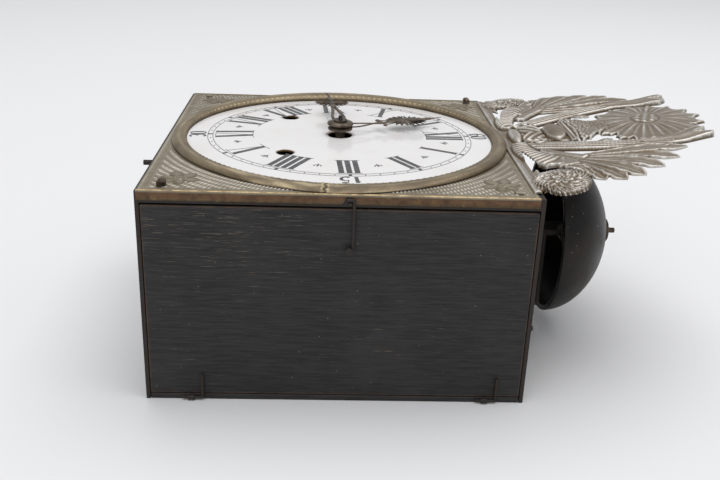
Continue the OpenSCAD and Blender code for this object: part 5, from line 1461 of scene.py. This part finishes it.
# %% Motifs put together
TILT = math.radians(9.0)
DROOP = 2.6
PED_X, PED_Z = 121.5, 145.5
# each lobe or leaf: knots (u, w) along it and its half-width; every lobe lies a little over the one before
LEAF_LOBES = [
    ([(35, 70), (36, 86), (38.5, 100)], 6.5), ([(36, 70), (41, 90), (45.5, 106)], 7.5),
    ([(37, 69), (49, 92), (58, 109)], 8.0), ([(38, 68), (57, 89), (71, 106)], 8.5),
    ([(40, 67), (66, 82), (86, 97)], 9.0), ([(42, 65), (74, 73), (100, 85)], 9.0),
    ([(43, 63), (78, 65), (112, 66)], 9.5),
]
LEAVES = [(knots, width, 0.6 + 0.3 * k) for k, (knots, width) in enumerate(LEAF_LOBES)]
LEAVES += [([(26, 80), (33, 84), (40, 92)], 6.0, 2.2), ([(58, 36), (64, 33), (72, 31)], 3.5, 1.2)]
# each stem: knots, half-width at its start and end, ground, lift, flutes along it and ribs across it
STEMS = [
    ([(7, 24), (9.5, 48), (22, 71)], 6.0, 9.5, 1.2, 2.8, 0, 12),
    ([(20, 62), (27, 68), (30, 78)], 8.5, 8.0, 1.8, 2.0, 0, 0),
    ([(20, 43), (31, 56), (43, 66)], 4.6, 4.8, 1.4, 2.4, 0, 0),
    ([(20, 27), (58, 42), (98, 53)], 7.5, 8.0, 1.2, 1.8, 5, 0),
    ([(30, 66), (62, 61), (96, 58)], 7.0, 9.0, 1.0, 1.4, 4, 0),
]
FORK_LINE = [(90, 51), (110, 50), (131, 46)]
FOOT_GAP = [(4.2, 40), (10.5, 70), (4.6, 82)]


def triangle_gap(u, w, corners):
    """Positive inside a triangle: the least distance to its three sides."""
    inside = []
    for (au, aw), (bu, bw) in zip(corners, corners[1:] + corners[:1]):
        length = math.hypot(bu - au, bw - aw)
        inside.append(((bu - au) * (w - aw) - (bw - aw) * (u - au)) / length)
    return np.maximum(np.minimum.reduce(inside), np.minimum.reduce([-row for row in inside]))


def forked_end(u, w):
    """The far end of a long stem, notched into two prongs that turn up."""
    margin, height = band(u, w, FORK_LINE, 6.5, 10.5, 1.2, 2.4, 2, 0)
    t, away = near_curve(u, w, FORK_LINE, 16)
    notch = np.abs(away - 0.5) - (t - 0.86) * 22
    return np.minimum(margin, notch), height + 2.4 * smooth_step(t, 0.5, 1.0)


def pediment_parts(u, v):
    """Every motif's margin and height."""
    w = np.abs(v)
    rib = np.minimum(117.5 - w, 2.6 - np.abs(u - 0.2)), 0.5 + 1.2 * round_top((u - 0.2) / 2.8)
    foot = np.minimum(114 - w, np.minimum(u + 2, 9 - u)), np.full(u.shape, 1.2)
    parts = [rib, foot, column_part(u, w), forked_end(u, w)]
    parts += [band(u, w, *stem) for stem in STEMS]
    parts += [leaf(u, w, *lobe) for lobe in LEAVES]
    parts += [roundel(u, w, (19, 103), 20.0, 34), sunflower(u, v, (104.5, 0), 41.0, 16)]
    return parts + [scroll(u, w, (21, 23), 6.0)]


def pediment_outline(u, v):
    """The largest margin of all motifs, less the triangular gaps over the foot."""
    whole = np.maximum.reduce([margin for margin, height in pediment_parts(u, v)])
    return np.minimum(whole, -triangle_gap(u, np.abs(v), FOOT_GAP))


def pediment_height(u, v):
    """The highest motif at each point; a motif fades in over the first millimetre of its margin."""
    return np.maximum.reduce([np.where(margin > -0.4, height * smooth_step(margin, -1.2, 1.2), 0.0)
                              for margin, height in pediment_parts(u, v)])


def on_pediment(u, v, height):
    """The sheet leans up from the top edge of the front, and its two outer corners hang a little."""
    lift = height - DROOP * smooth_step(np.abs(v), 84, 124) * smooth_step(u, 2, 12)
    x = PED_X + u * math.cos(TILT) - lift * math.sin(TILT)
    return np.stack([x, v, PED_Z + u * math.sin(TILT) + lift * math.cos(TILT)], axis=-1)


print("motifs on each half:", len(pediment_parts(np.zeros(1), np.zeros(1))))

# %% Pediment
PED_LOW, PED_HIGH, PED_SHEET = (-3.5, -124.6), (148.0, 124.6), 0.9
AROUND, RELIEF_DEPTH = 1.6, 0.85
pitch = 0.76
shell, (u, v) = sheet_shell(pediment_outline, pediment_height, on_pediment, PED_LOW, PED_HIGH, pitch,
                            PED_SHEET)
compass = np.arange(8) * math.pi / 4
mean = sum(pediment_height(u + AROUND * math.cos(way), v + AROUND * math.sin(way)) for way in compass) / 8
# Height above its surroundings gives crests a painted highlight and troughs painted shade; the vase is set
# darker.
tint = 0.52 + (pediment_height(u, v) - mean) / RELIEF_DEPTH - 0.22 * (vase_share(u, v) < 0.9)
make_piece("pediment_beaten", shell, "case", pediment_brass, ("pediment",), crease=60,
           relief=np.clip(tint, 0, 1))

# %% [markdown]
# ## Sizes
#
# The dressed model must keep the size of the solids. This cell measures nothing.

# %% Sizes
print("scene dressed")
